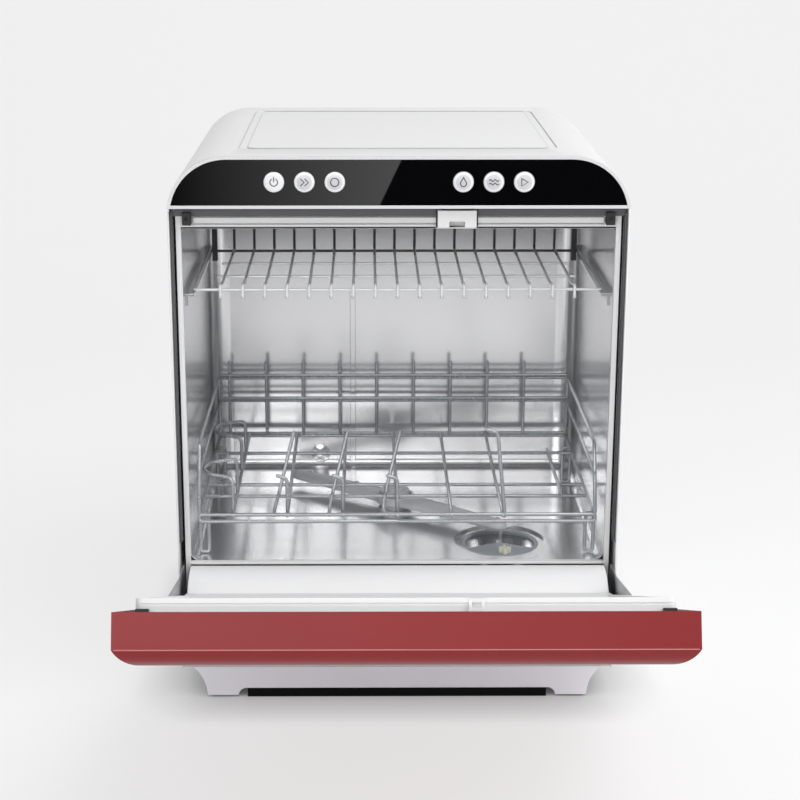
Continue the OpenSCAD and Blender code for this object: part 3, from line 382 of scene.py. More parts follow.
def add_block(bm, low, high):
    """Adds a box between two corners in millimetres."""
    corners = [bm.verts.new(Vector((x, y, z)) * MM)
               for x in (low[0], high[0]) for y in (low[1], high[1]) for z in (low[2], high[2])]
    for face in BLOCK_FACES:
        bm.faces.new([corners[i] for i in face])


def blocks(name, boxes, material, width):
    """One mesh of several boxes with rounded edges, with sizes in millimetres."""
    bm = bmesh.new()
    for low, high in boxes:
        add_block(bm, low, high)
    piece = new_piece(name, bm, material)
    round_edges(piece, width)
    return piece


def cut(piece, cutter):
    """Takes the cutter's shape out of the piece."""
    trim = piece.modifiers.new("cut", "BOOLEAN")
    trim.operation = "DIFFERENCE"
    trim.solver = "EXACT"
    trim.object = cutter
    apply_modifiers(piece)
    mesh = cutter.data
    bpy.data.objects.remove(cutter)
    bpy.data.meshes.remove(mesh)


def span(node):
    """The lowest and highest corner of a node at rest, in millimetres."""
    return tuple(corner / MM for corner in map(Vector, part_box(node)))


# ---- stage and light ----

BACKDROP = 1.0
OWN_GLOW = 0.68
# how far the floor's painted contact shadow reaches, in metres
CONTACT_SHADOW_REACH = 0.07
FLOOR_FRONT, FLOOR_BACK, FLOOR_HALF = -8.0, 2.6, 6.0
FLOOR_CURVE, FLOOR_TOP = 1.2, 4.0
CURVE_STEPS = 12


def make_stage():
    """A pale floor that curves up into a backdrop. Seen directly, in a reflection or through
    glass, part of its tone is its own, so that it stays even. The object's shadow stays in the
    rest, and a painted contact shadow darkens the floor's own tone where something stands close
    over it."""
    mat = bpy.data.materials.new("studio_floor")
    mat.use_nodes = True
    nodes, links = mat.node_tree.nodes, mat.node_tree.links
    plain = nodes["Principled BSDF"]
    plain.inputs["Base Color"].default_value = (0.82, 0.82, 0.825, 1)
    plain.inputs["Roughness"].default_value = 0.9
    glow = nodes.new("ShaderNodeEmission")
    path = nodes.new("ShaderNodeLightPath")
    seen = path.outputs["Is Camera Ray"]
    for kind in ("Is Glossy Ray", "Is Transmission Ray"):
        either = nodes.new("ShaderNodeMath")
        either.operation = "MAXIMUM"
        links.new(seen, either.inputs[0])
        links.new(path.outputs[kind], either.inputs[1])
        seen = either.outputs[0]
    share = nodes.new("ShaderNodeMath")
    share.operation = "MULTIPLY"
    share.inputs[1].default_value = OWN_GLOW
    links.new(seen, share.inputs[0])
    # painted contact shadow: the floor's own tone darkens where the object stands close over it
    contact_shadow = nodes.new("ShaderNodeAmbientOcclusion")
    contact_shadow.inputs["Distance"].default_value = CONTACT_SHADOW_REACH
    contact_shadow.inputs["Color"].default_value = (BACKDROP, BACKDROP, BACKDROP, 1)
    links.new(contact_shadow.outputs["Color"], glow.inputs["Color"])
    mix = nodes.new("ShaderNodeMixShader")
    links.new(share.outputs[0], mix.inputs[0])
    links.new(plain.outputs[0], mix.inputs[1])
    links.new(glow.outputs[0], mix.inputs[2])
    links.new(mix.outputs[0], nodes["Material Output"].inputs["Surface"])

    start, rise = FLOOR_BACK - FLOOR_CURVE, FLOOR_CURVE
    section = [(FLOOR_FRONT, 0.0), (start, 0.0)]
    for i in range(1, CURVE_STEPS + 1):
        turn = math.pi / 2 * i / CURVE_STEPS
        section.append((start + rise * math.sin(turn), rise - rise * math.cos(turn)))
    section.append((FLOOR_BACK, FLOOR_TOP))
    bm = bmesh.new()
    rows = [[bm.verts.new((x, y, z)) for x in (-FLOOR_HALF, FLOOR_HALF)] for y, z in section]
    for low, high in zip(rows, rows[1:]):
        bm.faces.new((low[0], low[1], high[1], high[0]))
    floor = new_piece("studio_floor", bm, mat, 60)


def reflector(name, corners, tone_left, tone_right):
    """A card that only shows in reflections, with a tone that runs from left to right."""
    mat = bpy.data.materials.new(name)
    mat.use_nodes = True
    nodes, links = mat.node_tree.nodes, mat.node_tree.links
    nodes.remove(nodes["Principled BSDF"])
    glow = nodes.new("ShaderNodeEmission")
    place = nodes.new("ShaderNodeTexCoord")
    split = nodes.new("ShaderNodeSeparateXYZ")
    ramp = nodes.new("ShaderNodeMapRange")
    xs = [corner[0] for corner in corners]
    ramp.inputs["From Min"].default_value = min(xs)
    ramp.inputs["From Max"].default_value = max(xs)
    ramp.inputs["To Min"].default_value = tone_left
    ramp.inputs["To Max"].default_value = tone_right
    links.new(place.outputs["Object"], split.inputs[0])
    links.new(split.outputs["X"], ramp.inputs["Value"])
    links.new(ramp.outputs["Result"], glow.inputs["Strength"])
    links.new(glow.outputs[0], nodes["Material Output"].inputs["Surface"])
    bm = bmesh.new()
    bm.faces.new([bm.verts.new(corner) for corner in corners])
    card = new_piece(name, bm, mat)
    card.visible_camera = False
    card.visible_diffuse = False
    card.visible_shadow = False
    card.visible_transmission = False


CARD_Y = -2.2
CLOTH_Y = CARD_Y - 0.05
BRIGHT_Y = CARD_Y - 0.2
CLOTH_HALF = 1.2
CLOTH_TOP = 0.78
# name, corners in metres, tone at the left, tone at the right
REFLECTORS = (
    ("grey_card", ((-0.46, CARD_Y, 0.06), (-0.02, CARD_Y, 0.06), (0.075, CARD_Y, 0.26),
                   (-0.46, CARD_Y, 0.26)), 0.0, 0.9),
    ("dark_cloth", ((-CLOTH_HALF, CLOTH_Y, 0.0), (CLOTH_HALF, CLOTH_Y, 0.0),
                    (CLOTH_HALF, CLOTH_Y, CLOTH_TOP), (-CLOTH_HALF, CLOTH_Y, CLOTH_TOP)),
     0.005, 0.005),
    ("bright_card", ((-CLOTH_HALF, BRIGHT_Y, 0.85), (0.7, BRIGHT_Y, 0.85), (0.7, BRIGHT_Y, 2.0),
                     (-CLOTH_HALF, BRIGHT_Y, 2.0)), 5.0, 0.9),
    ("dark_floor", ((-CLOTH_HALF, CLOTH_Y, 0.002), (CLOTH_HALF, CLOTH_Y, 0.002),
                    (CLOTH_HALF, -1.3, 0.002), (-CLOTH_HALF, -1.3, 0.002)), 0.10, 0.06),
)


def make_reflectors():
    """What the glass and the steel see in front: a grey card, dark cloth and a dark floor round
    it, and a bright card above."""
    for values in REFLECTORS:
        reflector(*values)


WORLD_LIGHT = 0.45
WORLD_SEEN = 0.95
WORLD_TONE = (0.92, 0.92, 0.93, 1)


def make_world():
    """An even pale surround, which lights the object less than it shows to the camera."""
    world = bpy.data.worlds.new("studio")
    bpy.context.scene.world = world
    world.use_nodes = True
    background = world.node_tree.nodes["Background"]
    background.inputs["Color"].default_value = WORLD_TONE
    path = world.node_tree.nodes.new("ShaderNodeLightPath")
    tone = world.node_tree.nodes.new("ShaderNodeMapRange")
    tone.inputs["To Min"].default_value = WORLD_LIGHT
    tone.inputs["To Max"].default_value = WORLD_SEEN
    world.node_tree.links.new(path.outputs["Is Camera Ray"], tone.inputs["Value"])
    world.node_tree.links.new(tone.outputs["Result"], background.inputs["Strength"])


# name, place, target and size in metres, power in watts
LIGHTS = (
    ("overhead", (0.95, -0.8, 2.3), (0.05, -0.15, 0.3), (2.0, 1.6), 37),
    ("front", (-1.3, -2.4, 1.3), (0.0, 0.0, 0.3), (1.4, 1.0), 9),
    ("low_front", (0.0, -3.0, 0.35), (0.0, 0.0, 0.1), (3.0, 0.5), 21),
    ("right_side", (2.0, -0.4, 1.0), (0.0, 0.0, 0.35), (0.8, 1.6), 10),
)


def area_light(name, place, target, size, power):
    """A rectangular lamp that faces its target."""
    data = bpy.data.lights.new(name, "AREA")
    data.shape = "RECTANGLE"
    data.size, data.size_y = size
    data.energy = power
    light = bpy.data.objects.new(name, data)
    light.location = place
    aim = Vector(target) - Vector(place)
    light.rotation_euler = aim.to_track_quat("-Z", "Y").to_euler()
    bpy.context.scene.collection.objects.link(light)


def make_lights():
    """The lamps of the studio."""
    for values in LIGHTS:
        area_light(*values)


# ---- tub, frame and seal ----

# in metres: what counts as the same place, and the least rise of an upright edge
SAME = 1e-6
UPRIGHT = 0.1
# from here on in millimetres
SHEET = 1.0
POST = 4.8
FLANGE_RISE = 14.0
TUB_CORNER = 21.0
TUB_FILLET = 8.0
WELL_HOLE, HUB_HOLE, INLET_HOLE = 46, 12, 7
HOLE_BELOW, HOLE_ABOVE = 6, 7
INLET_DROP = 9
# left, right and height of the seam on the tub's back
SEAM = (-47.0, -41.0, 200.0)
INLET_CAP = ((0.01, -2.2), (4.0, -2.2), (5.2, -1.6), (9.5, -1.2), (10.5, -0.6), (10.5, 0.2),
             (0.01, 0.2))
FRAME_Y = (10.0, 16.0)
PAD_Z = (465.6, 471.2)
LIP_Z = (462.5, 464.6)
# heights of the dark band under the fascia, which is painted shade
SHADE_BAND_Z = (472.0, 479.6)
MOUTH_RISE = 322
SEAL_WIDTH = 2.4


def make_tub():
    """The steel tub: drawn corners, a seam up the back, and holes for what comes through."""
    low, high = span("tub")
    half = high.x - POST
    back = high.y - SHEET
    floor, top = low.z + SHEET, high.z - FLANGE_RISE
    bm = bmesh.new()
    add_block(bm, (-half, low.y, floor), (half, back, top))
    mouth = [f for f in bm.faces if all(abs(v.co.y - low.y * MM) < SAME for v in f.verts)]
    bmesh.ops.delete(bm, geom=mouth, context="FACES_ONLY")
    upright = [e for e in bm.edges if all(abs(v.co.y - back * MM) < SAME for v in e.verts)
               and abs(e.verts[0].co.z - e.verts[1].co.z) > UPRIGHT]
    bmesh.ops.bevel(bm, geom=upright, offset=TUB_CORNER * MM, segments=12, profile=0.5,
                    affect="EDGES")
    level = [e for e in bm.edges if len(e.link_faces) == 2
             and abs(e.verts[0].co.z - e.verts[1].co.z) < SAME]
    bmesh.ops.bevel(bm, geom=level, offset=TUB_FILLET * MM, segments=7, profile=0.5,
                    affect="EDGES")
    tub = new_piece("tub_body", bm, MATERIALS["stainless_steel"], 40)
    wall = tub.modifiers.new("wall", "SOLIDIFY")
    wall.thickness = SHEET * MM
    wall.offset = 1.0
    apply_modifiers(tub)

    well, hub, hose = span("sump"), span("spray_hub"), span("inlet_hose")
    holes = bmesh.new()
    middle = (well[0] + well[1]) / 2
    for radius, x, y in ((WELL_HOLE, middle.x, middle.y),
                         (HUB_HOLE, 0, (hub[0].y + hub[1].y) / 2)):
        add_lathe(holes, [(radius, floor - HOLE_BELOW), (radius, floor + HOLE_ABOVE)], (x, y, 0))
    inlet = ((hose[0].x + hose[1].x) / 2, back, hose[1].z - INLET_DROP)
    add_lathe(holes, [(INLET_HOLE, -8), (INLET_HOLE, 8)], inlet, "y")
    cut(tub, new_piece("tub_holes", holes, MATERIALS["stainless_steel"]))
    even = tub.modifiers.new("even", "WEIGHTED_NORMAL")
    even.keep_sharp = True
    apply_modifiers(tub)
    dress(tub, "tub")

    lock = span("lock_housing")
    rims = [((s * half, low.y, low.z), (s * high.x, low.y + SHEET, high.z)) for s in (-1, 1)]
    rims += [((-half, low.y, top), (lock[0].x, low.y + SHEET, high.z)),
             ((lock[1].x, low.y, top), (half, low.y + SHEET, high.z))]
    add_on(blocks("tub_flange", rims, MATERIALS["stainless_steel"], 0.3), "tub")
    seam = [((SEAM[0], back - 1.2, floor + 5), (SEAM[1], back + 0.3, floor + SEAM[2]))]
    add_on(blocks("tub_seam", seam, MATERIALS["stainless_steel"], 0.9), "tub")
    add_on(lathe("tub_inlet_cap", INLET_CAP, inlet, MATERIALS["stainless_steel"]), "tub")


def make_front_frame():
    """The white frame round the mouth, with its two pads and a lip under each. The pads and
    lips take a darker copy of the white plastic, as painted shade.
    """
    low, high = span("front_frame")
    y0, y1 = FRAME_Y
    half = high.x - POST
    sill = span("tub")[0].z + SHEET
    lock = span("lock_housing")
    left, right = lock[0].x, lock[1].x
    head = sill + MOUTH_RISE
    boxes = [((s * half, y0, low.z), (s * high.x, y1, high.z)) for s in (-1, 1)]
    boxes += [((-half, y0, sill - 2.4), (half, y1, sill)),
              ((-half, y0, head), (half, y1, head + 2.2)),
              ((-half, y0, head), (left, y1, high.z)), ((right, y0, head), (half, y1, high.z))]
    dress(blocks("front_frame_body", boxes, MATERIALS["white_plastic"], 0.5), "front_frame")
    stop = span("frame_stop_right")[0].x - 1
    for name, x0, x1 in (("left", -stop, left - 0.5), ("right", right + 0.5, stop)):
        pad = blocks(name + "_pad", [((x0, low.y, PAD_Z[0]), (x1, y0 + 1, PAD_Z[1]))],
                     SHADED_WHITE, 1.4)
        add_on(pad, "front_frame")
        lip = blocks(name + "_lip", [((x0, low.y + 1, LIP_Z[0]), (x1, y0 + 1, LIP_Z[1]))],
                     SHADED_WHITE, 0.9)
        add_on(lip, "front_frame")


def make_gasket():
    """The dark seal: a strip down each side, a dark band under the fascia as painted shade, and
    the lock's edges.
    """
    low, high = span("door_gasket")
    lock = span("lock_housing")
    boxes = [((s * (high.x - SEAL_WIDTH), low.y, low.z), (s * high.x, high.y, high.z))
             for s in (-1, 1)]
    # the band under the fascia is a dark strip that stands for the shade there: painted shade
    for x0, x1 in ((low.x + 1, lock[0].x), (lock[1].x, high.x - 1)):
        boxes.append(((x0, low.y + 2, SHADE_BAND_Z[0]), (x1, FRAME_Y[0] + 0.4, SHADE_BAND_Z[1])))
    dress(blocks("door_seal", boxes, MATERIALS["grey_rubber"], 0.7), "door_gasket")
    edges = [((x - 0.8, low.y, LIP_Z[0]), (x + 0.8, FRAME_Y[0], SHADE_BAND_Z[1]))
             for x in (lock[0].x - 0.6, lock[1].x + 0.6)]
    add_on(blocks("lock_edges", edges, MATERIALS["black_rubber"], 0.3), "door_gasket")


# ---- racks ----

# radii of the wires of the lower and the upper rack, and how far crossing wires stand apart
WIRE = 1.8
THIN = 1.4
CROSS = 2 * WIRE - 0.6

LEG_HEIGHT = 37.9
RACK_DEPTH = 264
FRONT_DROP = 3.9
FRONT_RISE = 2.6
LEG_WIDTH = 8


def lower_rack_places():
    """The rack's half width, floor height and front and back wires, in millimetres."""
    low, high = span("lower_rack")
    return high.x - WIRE, low.z + WIRE + LEG_HEIGHT, low.y + WIRE, low.y + WIRE + RACK_DEPTH


def lower_floor_paths():
    """The floor of the rack: its frame, the double wire in front, the grid and the legs."""
    x, z, y0, y1 = lower_rack_places()
    leg_z = span("lower_rack")[0].z + WIRE
    up = CROSS
    low_z, high_z = z - FRONT_DROP, z + FRONT_RISE
    paths = [
        [(0, y0, low_z), (x, y0, low_z), (x, y0 + 1, high_z), (-x, y0 + 1, high_z),
         (-x, y0, low_z), (0, y0, low_z)],
        [(-x, y1, z), (x, y1, z)],
        [(-x, y1, z + up), (x, y1, z + up)],
    ]
    for s in (-1, 1):
        paths.append([(s * (x - 0.5), y0 + 1, low_z + 1), (s * x, y0 + 24, z),
                      (s * x, y1 + 0.5, z)])
    for y in (y0 + 62, y0 + 97, y0 + 201):
        paths.append([(-x, y, z), (x, y, z)])
    for wx in (-157, -105, -52, 0, 52, 101):
        paths.append([(wx, y0 + 0.5, high_z - 1), (wx, y0 + 14, z + up), (wx, y1 + 1, z + up)])
    paths.append([(163, y0 + 60, z + up), (163, y0 + 203, z + up)])
    for s in (-1, 1):
        inner = s * (x - LEG_WIDTH)
        for leg in (y0 + 10, y1 - 46):
            paths.append([(s * x, leg, z - 1), (s * x, leg, leg_z), (inner, leg, leg_z),
                          (inner, leg, z + 1), (s * x, leg + 1, z)])
    return paths


# height and depth of each level wire of the fence, from the floor's back wire
FENCE = ((40, 1), (44.5, -5), (65.6, 1), (70.5, -5))
LOOP = 38
FENCE_POST, FENCE_PITCH, FENCE_SHIFT = 84, 40, 18
SIDE_RAIL, SIDE_MIDDLE = 67, 40


def lower_upright_paths():
    """What stands on the floor: tines, cup loops, the fence behind and the side rails."""
    x, z, y0, y1 = lower_rack_places()
    up = CROSS
    paths = []
    tine = y0 + 6
    for wx in (-105, -52, 0):
        paths.append([(wx, tine, z + up), (wx, tine, z + 37), (wx - 9, tine, z + 40)])
        paths.append([(wx - 13, y0 + 2, z + 1.6), (wx - 13, y0 + 12, z + up),
                      (wx - 11, y0 + 58, z + up), (wx + 4, y0 + 76, z + 62)])
    for loop in (tine, y0 + 135):
        paths.append([(-157, loop, z + up), (-157, loop, z + LOOP), (-181, loop + 12, z + LOOP),
                      (-187, loop + 30, z + LOOP), (-181, loop + 48, z + LOOP),
                      (-157, loop + 60, z + LOOP), (-157, loop + 60, z + up)])
    paths.append([(103, y0 + 1, z + 1), (95, y0 + 5, z + 84), (84, y0 + 6, z + 86)])
    inside = x - WIRE - 0.3
    for height, dy in FENCE:
        paths.append([(-inside, y1 + dy, z + height), (inside, y1 + dy, z + height)])
    for i in range(-4, 5):
        wx = i * FENCE_PITCH - FENCE_SHIFT
        paths.append([(wx, y1 - 2, z + up), (wx, y1 - 2, z + FENCE_POST)])
    for s in (-1, 1):
        paths.append([(s * x, y1, z + up), (s * x, y1 - 5, z + SIDE_RAIL),
                      (s * x, y0 + 24, z + SIDE_RAIL), (s * x, y0 + 1, z + 5)])
        paths.append([(s * x, y1 - 3, z + SIDE_MIDDLE), (s * x, y0 + 12, z + SIDE_MIDDLE)])
    return paths


def make_lower_rack():
    """The lower rack's floor, and apart from it what stands on the floor."""
    rack = wires("lower_rack_floor", lower_floor_paths(), WIRE, MATERIALS["wire_coat"], 3.2)
    dress(rack, "lower_rack")
    stand = wires("lower_rack_uprights", lower_upright_paths(), WIRE, MATERIALS["wire_coat"], 7.0)
    dress(stand, "rack_uprights")


SHELF_PITCH = 20.7
SHELF_SIDE = 8
SHELF_DEPTH = 184
SHELF_FENCE = 22
# how far from the back the shelf wires turn into the dark copy, the painted shade
SHADED_END = 35
HOOK_FRONT = 3.4
BALL = ((0.01, -1.9), (1.1, -1.5), (1.75, -0.6), (1.75, 0.6), (1.1, 1.5), (0.01, 1.9))


def make_upper_rack():
    """The upper rack: wires with hooks and balls in front in a light copy of the wire finish, as
    painted light, and wires at the back in a dark copy, as painted shade.
    """
    low, high = span("upper_rack")
    x = high.x - THIN
    y0 = low.y + THIN + 4
    y1 = y0 + SHELF_DEPTH
    z = high.z - SHELF_FENCE
    bright = [[(-x, y1, z), (-x, y0, z), (x, y0, z), (x, y1, z)]]
    for share in (1 / 3, 2 / 3):
        y = y0 + share * (y1 - y0)
        bright.append([(-x + 18, y, z - 0.6), (x - 18, y, z - 0.6)])
    # the wires at the back take the dark copy: painted shade
    dark = [[(-x, y1, z), (x, y1, z)]]
    tips = bmesh.new()
    for i in range(-SHELF_SIDE, SHELF_SIDE + 1):
        wx = i * SHELF_PITCH
        bright.append([(wx, y0 - HOOK_FRONT, z - 6.6), (wx, y0 - 3.6, z + 4.6),
                       (wx, y0 + 7, z + 4.2), (wx, y0 + 20, z + THIN),
                       (wx, y1 - SHADED_END, z + THIN)])
        dark.append([(wx, y1 - SHADED_END, z + THIN), (wx, y1 + 2, z + THIN),
                     (wx, y1 + 2, z + SHELF_FENCE)])
        add_lathe(tips, BALL, (wx, y0 - HOOK_FRONT, z - 6.4), "z", 16)
    rack = wires("upper_rack_lit_wires", bright, THIN, LIT_WIRE, 3.0)
    dress(rack, "upper_rack")
    add_on(wires("upper_rack_shaded_fence", dark, THIN, SHADED_WIRE, 3.0), "upper_rack")
    add_on(new_piece("upper_rack_tips", tips, BALL_TIP, WIRE_ANGLE), "upper_rack")


# ---- washing parts ----

ARM_ANGLE = math.radians(-38)
ARM_HALF = 138.0
ARM_STEPS = 48
ARM_TIP = 9
# half width and height of the blade at the hub, and what they lose towards a tip
ARM_WIDTH, ARM_TAPER = 15.0, 6.2
ARM_RISE, ARM_FALL, TIP_FALL = 9.0, 1.6, 3.0
# the blade's section as shares of its half width and height
ARM_SECTION = ((-1, 0.30), (-0.97, 0.12), (-0.80, 0.0), (0, 0.0), (0.80, 0.0), (0.97, 0.12),
               (1, 0.30), (0.98, 0.52), (0.86, 0.74), (0.60, 0.90), (0.26, 0.98), (0.20, 1.0),
               (-0.20, 1.0), (-0.26, 0.98), (-0.60, 0.90), (-0.86, 0.74), (-0.98, 0.52))
ARM_RING = ((9.3, 0.4), (19.0, 0.4), (20.0, 1.4), (20.0, 7.6), (19.2, 8.6), (17.0, 8.8),
            (16.6, 8.4), (16.6, 5.6), (9.3, 5.6), (9.3, 0.4))
# places of the nozzles along the arm, their distance from its middle line and their bore
NOZZLES = (-118, -86, -54, 42, 70, 102, 124)
NOZZLE_ASIDE = 5.0
NOZZLE_R = 1.4


def make_spray_arm():
    """The blade: a crowned, tapered loft with a rib, seven nozzles and a ring round the hub."""
    low, high = span("spray_arm")
    hub = (0, (low.y + high.y) / 2, low.z)
    place = Matrix.Translation(Vector(hub) * MM) @ Matrix.Rotation(ARM_ANGLE, 4, "Z")
    bm = bmesh.new()
    rings = []
    for i in range(ARM_STEPS + 1):
        along = -ARM_HALF + 2 * ARM_HALF * i / ARM_STEPS
        share = abs(along) / ARM_HALF
        width = ARM_WIDTH - ARM_TAPER * share
        tip = max(0.0, (abs(along) - (ARM_HALF - ARM_TIP)) / ARM_TIP)
        width *= math.sqrt(max(0.0, 1 - tip * tip)) + 0.02
        rise = ARM_RISE - ARM_FALL * share - TIP_FALL * tip * tip
        rings.append([bm.verts.new(place @ (Vector((along, across * width, up * rise)) * MM))
                      for across, up in ARM_SECTION])
    skin(bm, rings)
    arm = new_piece("spray_arm_blade", bm, MATERIALS["arm_grey"], 50)
    holes = bmesh.new()
    add_lathe(holes, [(16.2, 6.0), (16.2, 14.0)], hub)
    add_lathe(holes, [(9.1, -3.0), (9.1, 14.0)], hub)
    spots = [(place @ (Vector((along, NOZZLE_ASIDE, 0)) * MM) / MM,
              ARM_RISE - ARM_FALL * abs(along) / ARM_HALF) for along in NOZZLES]
    for spot, _ in spots:
        add_lathe(holes, [(NOZZLE_R, 3.0), (NOZZLE_R, 14.0)], spot, "z", 16)
    cut(arm, new_piece("arm_holes", holes, MATERIALS["arm_grey"]))
    dress(arm, "spray_arm")

    extras = bmesh.new()
    add_lathe(extras, ARM_RING, hub)
    for spot, height in spots:
        lip = [(NOZZLE_R, height - 1.6), (2.9, height - 1.6), (2.7, height - 0.1),
               (2.1, height + 0.5), (1.5, height + 0.5), (NOZZLE_R, height - 1.6)]
        add_lathe(extras, lip, spot, "z", 20)
    add_on(new_piece("spray_arm_ring", extras, MATERIALS["arm_grey"], 35), "spray_arm")


# ---- buttons ----

BUTTONS = ("power_button", "quick_button", "normal_button", "strong_button", "dry_button",
           "start_button")
INK = 0.5
SIGN_SINK = 0.2
POWER_FACE = 0.28


def arc(radius, start, end, steps, centre=(0, 0)):
    """Points on an arc between two angles in degrees."""
    points = []
    for i in range(steps + 1):
        turn = math.radians(start + (end - start) * i / steps)
        points.append((centre[0] + radius * math.cos(turn), centre[1] + radius * math.sin(turn)))
    return points


def pictogram(node):
    """The strokes of a button's plain sign, in millimetres about its centre."""
    wave = [(-4.2 + 0.42 * i, 0.9 * math.sin(0.42 * i * 2 * math.pi / 4.2)) for i in range(21)]
    drop = [(0, 4.4)] + arc(2.7, 35, -215, 20, (0, -1.2)) + [(0, 4.4)]
    return {
        "power_button": [arc(3.4, 55, -235, 22), [(0, 0.6), (0, 4.4)]],
        "quick_button": [[(-3.2, 3.0), (0, 0), (-3.2, -3.0)], [(0.6, 3.0), (3.8, 0), (0.6, -3.0)]],
        "normal_button": [arc(3.7, 0, 360, 26)],
        "strong_button": [drop],
        "dry_button": [[(x, y + h) for x, y in wave] for h in (-1.6, 1.6)],
        "start_button": [[(-2.4, 3.4), (3.4, 0.0), (-2.4, -3.4), (-2.4, 3.4)]],
    }[node]


def make_button(node):
    """A dished cap with its sign. All but the power button have a disc in the middle."""
    low, high = span(node)
    cx, cz = (low.x + high.x) / 2, (low.z + high.z) / 2
    r = (high.x - low.x) / 2
    front = low.y
    body = [(0.01, 0.35), (r - 2.6, 0.25), (r - 1.2, 0.35), (r - 0.35, 0.75), (r, 1.5), (r, 4.3),
            (3.0, 4.3), (3.0, high.y - front), (0.01, high.y - front)]
    centre = (cx, front, cz)
    dress(lathe(node + "_cap", body, centre, MATERIALS["button_white"]), node)
    face = POWER_FACE
    if node != "power_button":
        disc = [(0.01, 0.0), (r - 3.0, 0.02), (r - 2.5, 0.25), (r - 2.5, 0.8), (0.01, 0.8)]
        add_on(lathe(node + "_disc", disc, centre, BUTTON_CENTRE), node)
        face = 0.0
    bm = bmesh.new()
    for stroke in pictogram(node):
        points = [Vector((cx + x, front + face + SIGN_SINK, cz + z)) * MM for x, z in stroke]
        add_tube(bm, points, INK * MM, 8)
    add_on(new_piece(node + "_sign", bm, MARK_INK, WIRE_ANGLE), node)


# ---- painted shade lines on the casing and a painted highlight line on the door ----

HINGE = Vector((0.0, -8.0, 92.5))
DOOR_ANGLE = math.radians(68)
# half width, bottom, top and front of the closed door where its sides turn into the bevel
DOOR_HALF, DOOR_BOTTOM, DOOR_TOP, DOOR_FRONT = 218.0, 85.0, 476.0, -28.5
# how far inside that edge its painted highlight line runs, and the line's radius
DOOR_INSET = 0.5
DOOR_HIGHLIGHT_R = 0.6
# half width, front and back of the pressed band, and the inset and corner of its two edges
PRESS_HALF, PRESS_FRONT, PRESS_BACK = 146, 39, 326
PRESS_EDGES = ((0, 14), (8, 9))
# how far the painted shade lines' middle is under the top, and their radius
PRESS_SINK = 0.4
PRESS_SHADE_R = 0.45


def swung(x, y, z):
    """Where a point of the closed door is at rest, in millimetres."""
    return HINGE + Matrix.Rotation(DOOR_ANGLE, 3, "X") @ (Vector((x, y, z)) - HINGE)


def make_press_shade_lines():
    """Grey lines along the fine edges of the pressed band on the top: painted shade."""
    top = span("outer_shell")[1].z
    bm = bmesh.new()
    for inset, radius in PRESS_EDGES:
        x, y0, y1 = PRESS_HALF - inset, PRESS_FRONT + inset, PRESS_BACK - inset
        ring = [(0, y0), (x, y0), (x, y1), (-x, y1), (-x, y0), (0, y0)]
        path = rounded_path([(px, py, top - PRESS_SINK) for px, py in ring], radius)
        add_tube(bm, path, PRESS_SHADE_R * MM, 8)
    add_on(new_piece("press_shade_lines", bm, PRESS_SHADE, WIRE_ANGLE), "outer_shell")


def make_door_highlight():
    """A lighter red line along the rounded edge where the door's sides turn into the bevel: a
    painted highlight.
    """
    half = DOOR_HALF - DOOR_INSET
    bottom, top = DOOR_BOTTOM + DOOR_INSET, DOOR_TOP - DOOR_INSET
    corners = [(0, top), (half, top), (half, bottom), (-half, bottom), (-half, top), (0, top)]
    path = [swung(x, DOOR_FRONT, z) for x, z in corners]
    bm = bmesh.new()
    add_tube(bm, rounded_path(path, 2.0), DOOR_HIGHLIGHT_R * MM, 10)
    add_on(new_piece("door_highlight_line", bm, RED_HIGHLIGHT, WIRE_ANGLE), "door_panel")


# the dark sheets in the plinth's arches are painted shade under the machine
ARCH_SHADE_HALF = 145
ARCH_SHADE_SHEET = 1.5
ARCH_SHADE_BOTTOM, ARCH_SHADE_RISE = 0.3, 7.2
ARCH_SHADE_INSET = 0.8


def make_arch_shade():
    """Dark sheets in the plinth's low arches, as painted shade under the machine."""
    low, high = span("base_plinth")
    boxes = [((-ARCH_SHADE_HALF, y, ARCH_SHADE_BOTTOM), (ARCH_SHADE_HALF, y + ARCH_SHADE_SHEET, low.z + ARCH_SHADE_RISE))
             for y in (low.y + ARCH_SHADE_INSET, high.y - ARCH_SHADE_INSET - ARCH_SHADE_SHEET)]
    add_on(blocks("arch_shade", boxes, SHADE_BLACK, 0.3), "rubber_feet")


# ---- back ----

SCREW_R = 4
SCREW_DOME = ((0.01, 1.8), (1.6, 1.75), (2.8, 1.45), (3.6, 0.9), (4.0, 0.2), (4.0, 0.0),
              (0.01, 0.0))
# half length and half width of the cross in a screw, and where its floor is
CROSS_LONG, CROSS_THIN, CROSS_FLOOR = 2.0, 0.45, 0.8


def make_screws():
    """Pan-head screws with a cross recess on the back."""
    low, high = span("panel_screws")
    y = low.y
    heads = bmesh.new()
    bars = (bmesh.new(), bmesh.new())
    for x in (low.x + SCREW_R, high.x - SCREW_R):
        for z in (low.z + SCREW_R, (low.z + high.z) / 2, high.z - SCREW_R):
            add_lathe(heads, SCREW_DOME, (x, y, z), "y", 32)
            for bar, dx, dz in zip(bars, (CROSS_LONG, CROSS_THIN), (CROSS_THIN, CROSS_LONG)):
                add_block(bar, (x - dx, y + CROSS_FLOOR, z - dz), (x + dx, y + 3, z + dz))
    screws = new_piece("panel_screw_heads", heads, MATERIALS["bright_steel"], 50)
    for bar in bars:
        cut(screws, new_piece("screw_slots", bar, MATERIALS["bright_steel"]))
    dress(screws, "panel_screws")


def add_ridges(bm, centre, count, first, pitch, root, crest, reach, flat):
    """Adds a row of round ridges along Y. To each side of its middle a ridge goes as far as
    reach at the root and as far as flat at the crest."""
    for i in range(count):
        y = first + pitch * i
        add_lathe(bm, [(root, y - reach), (crest, y - flat), (crest, y + flat),
                       (root, y + reach)], centre, "y", 48)


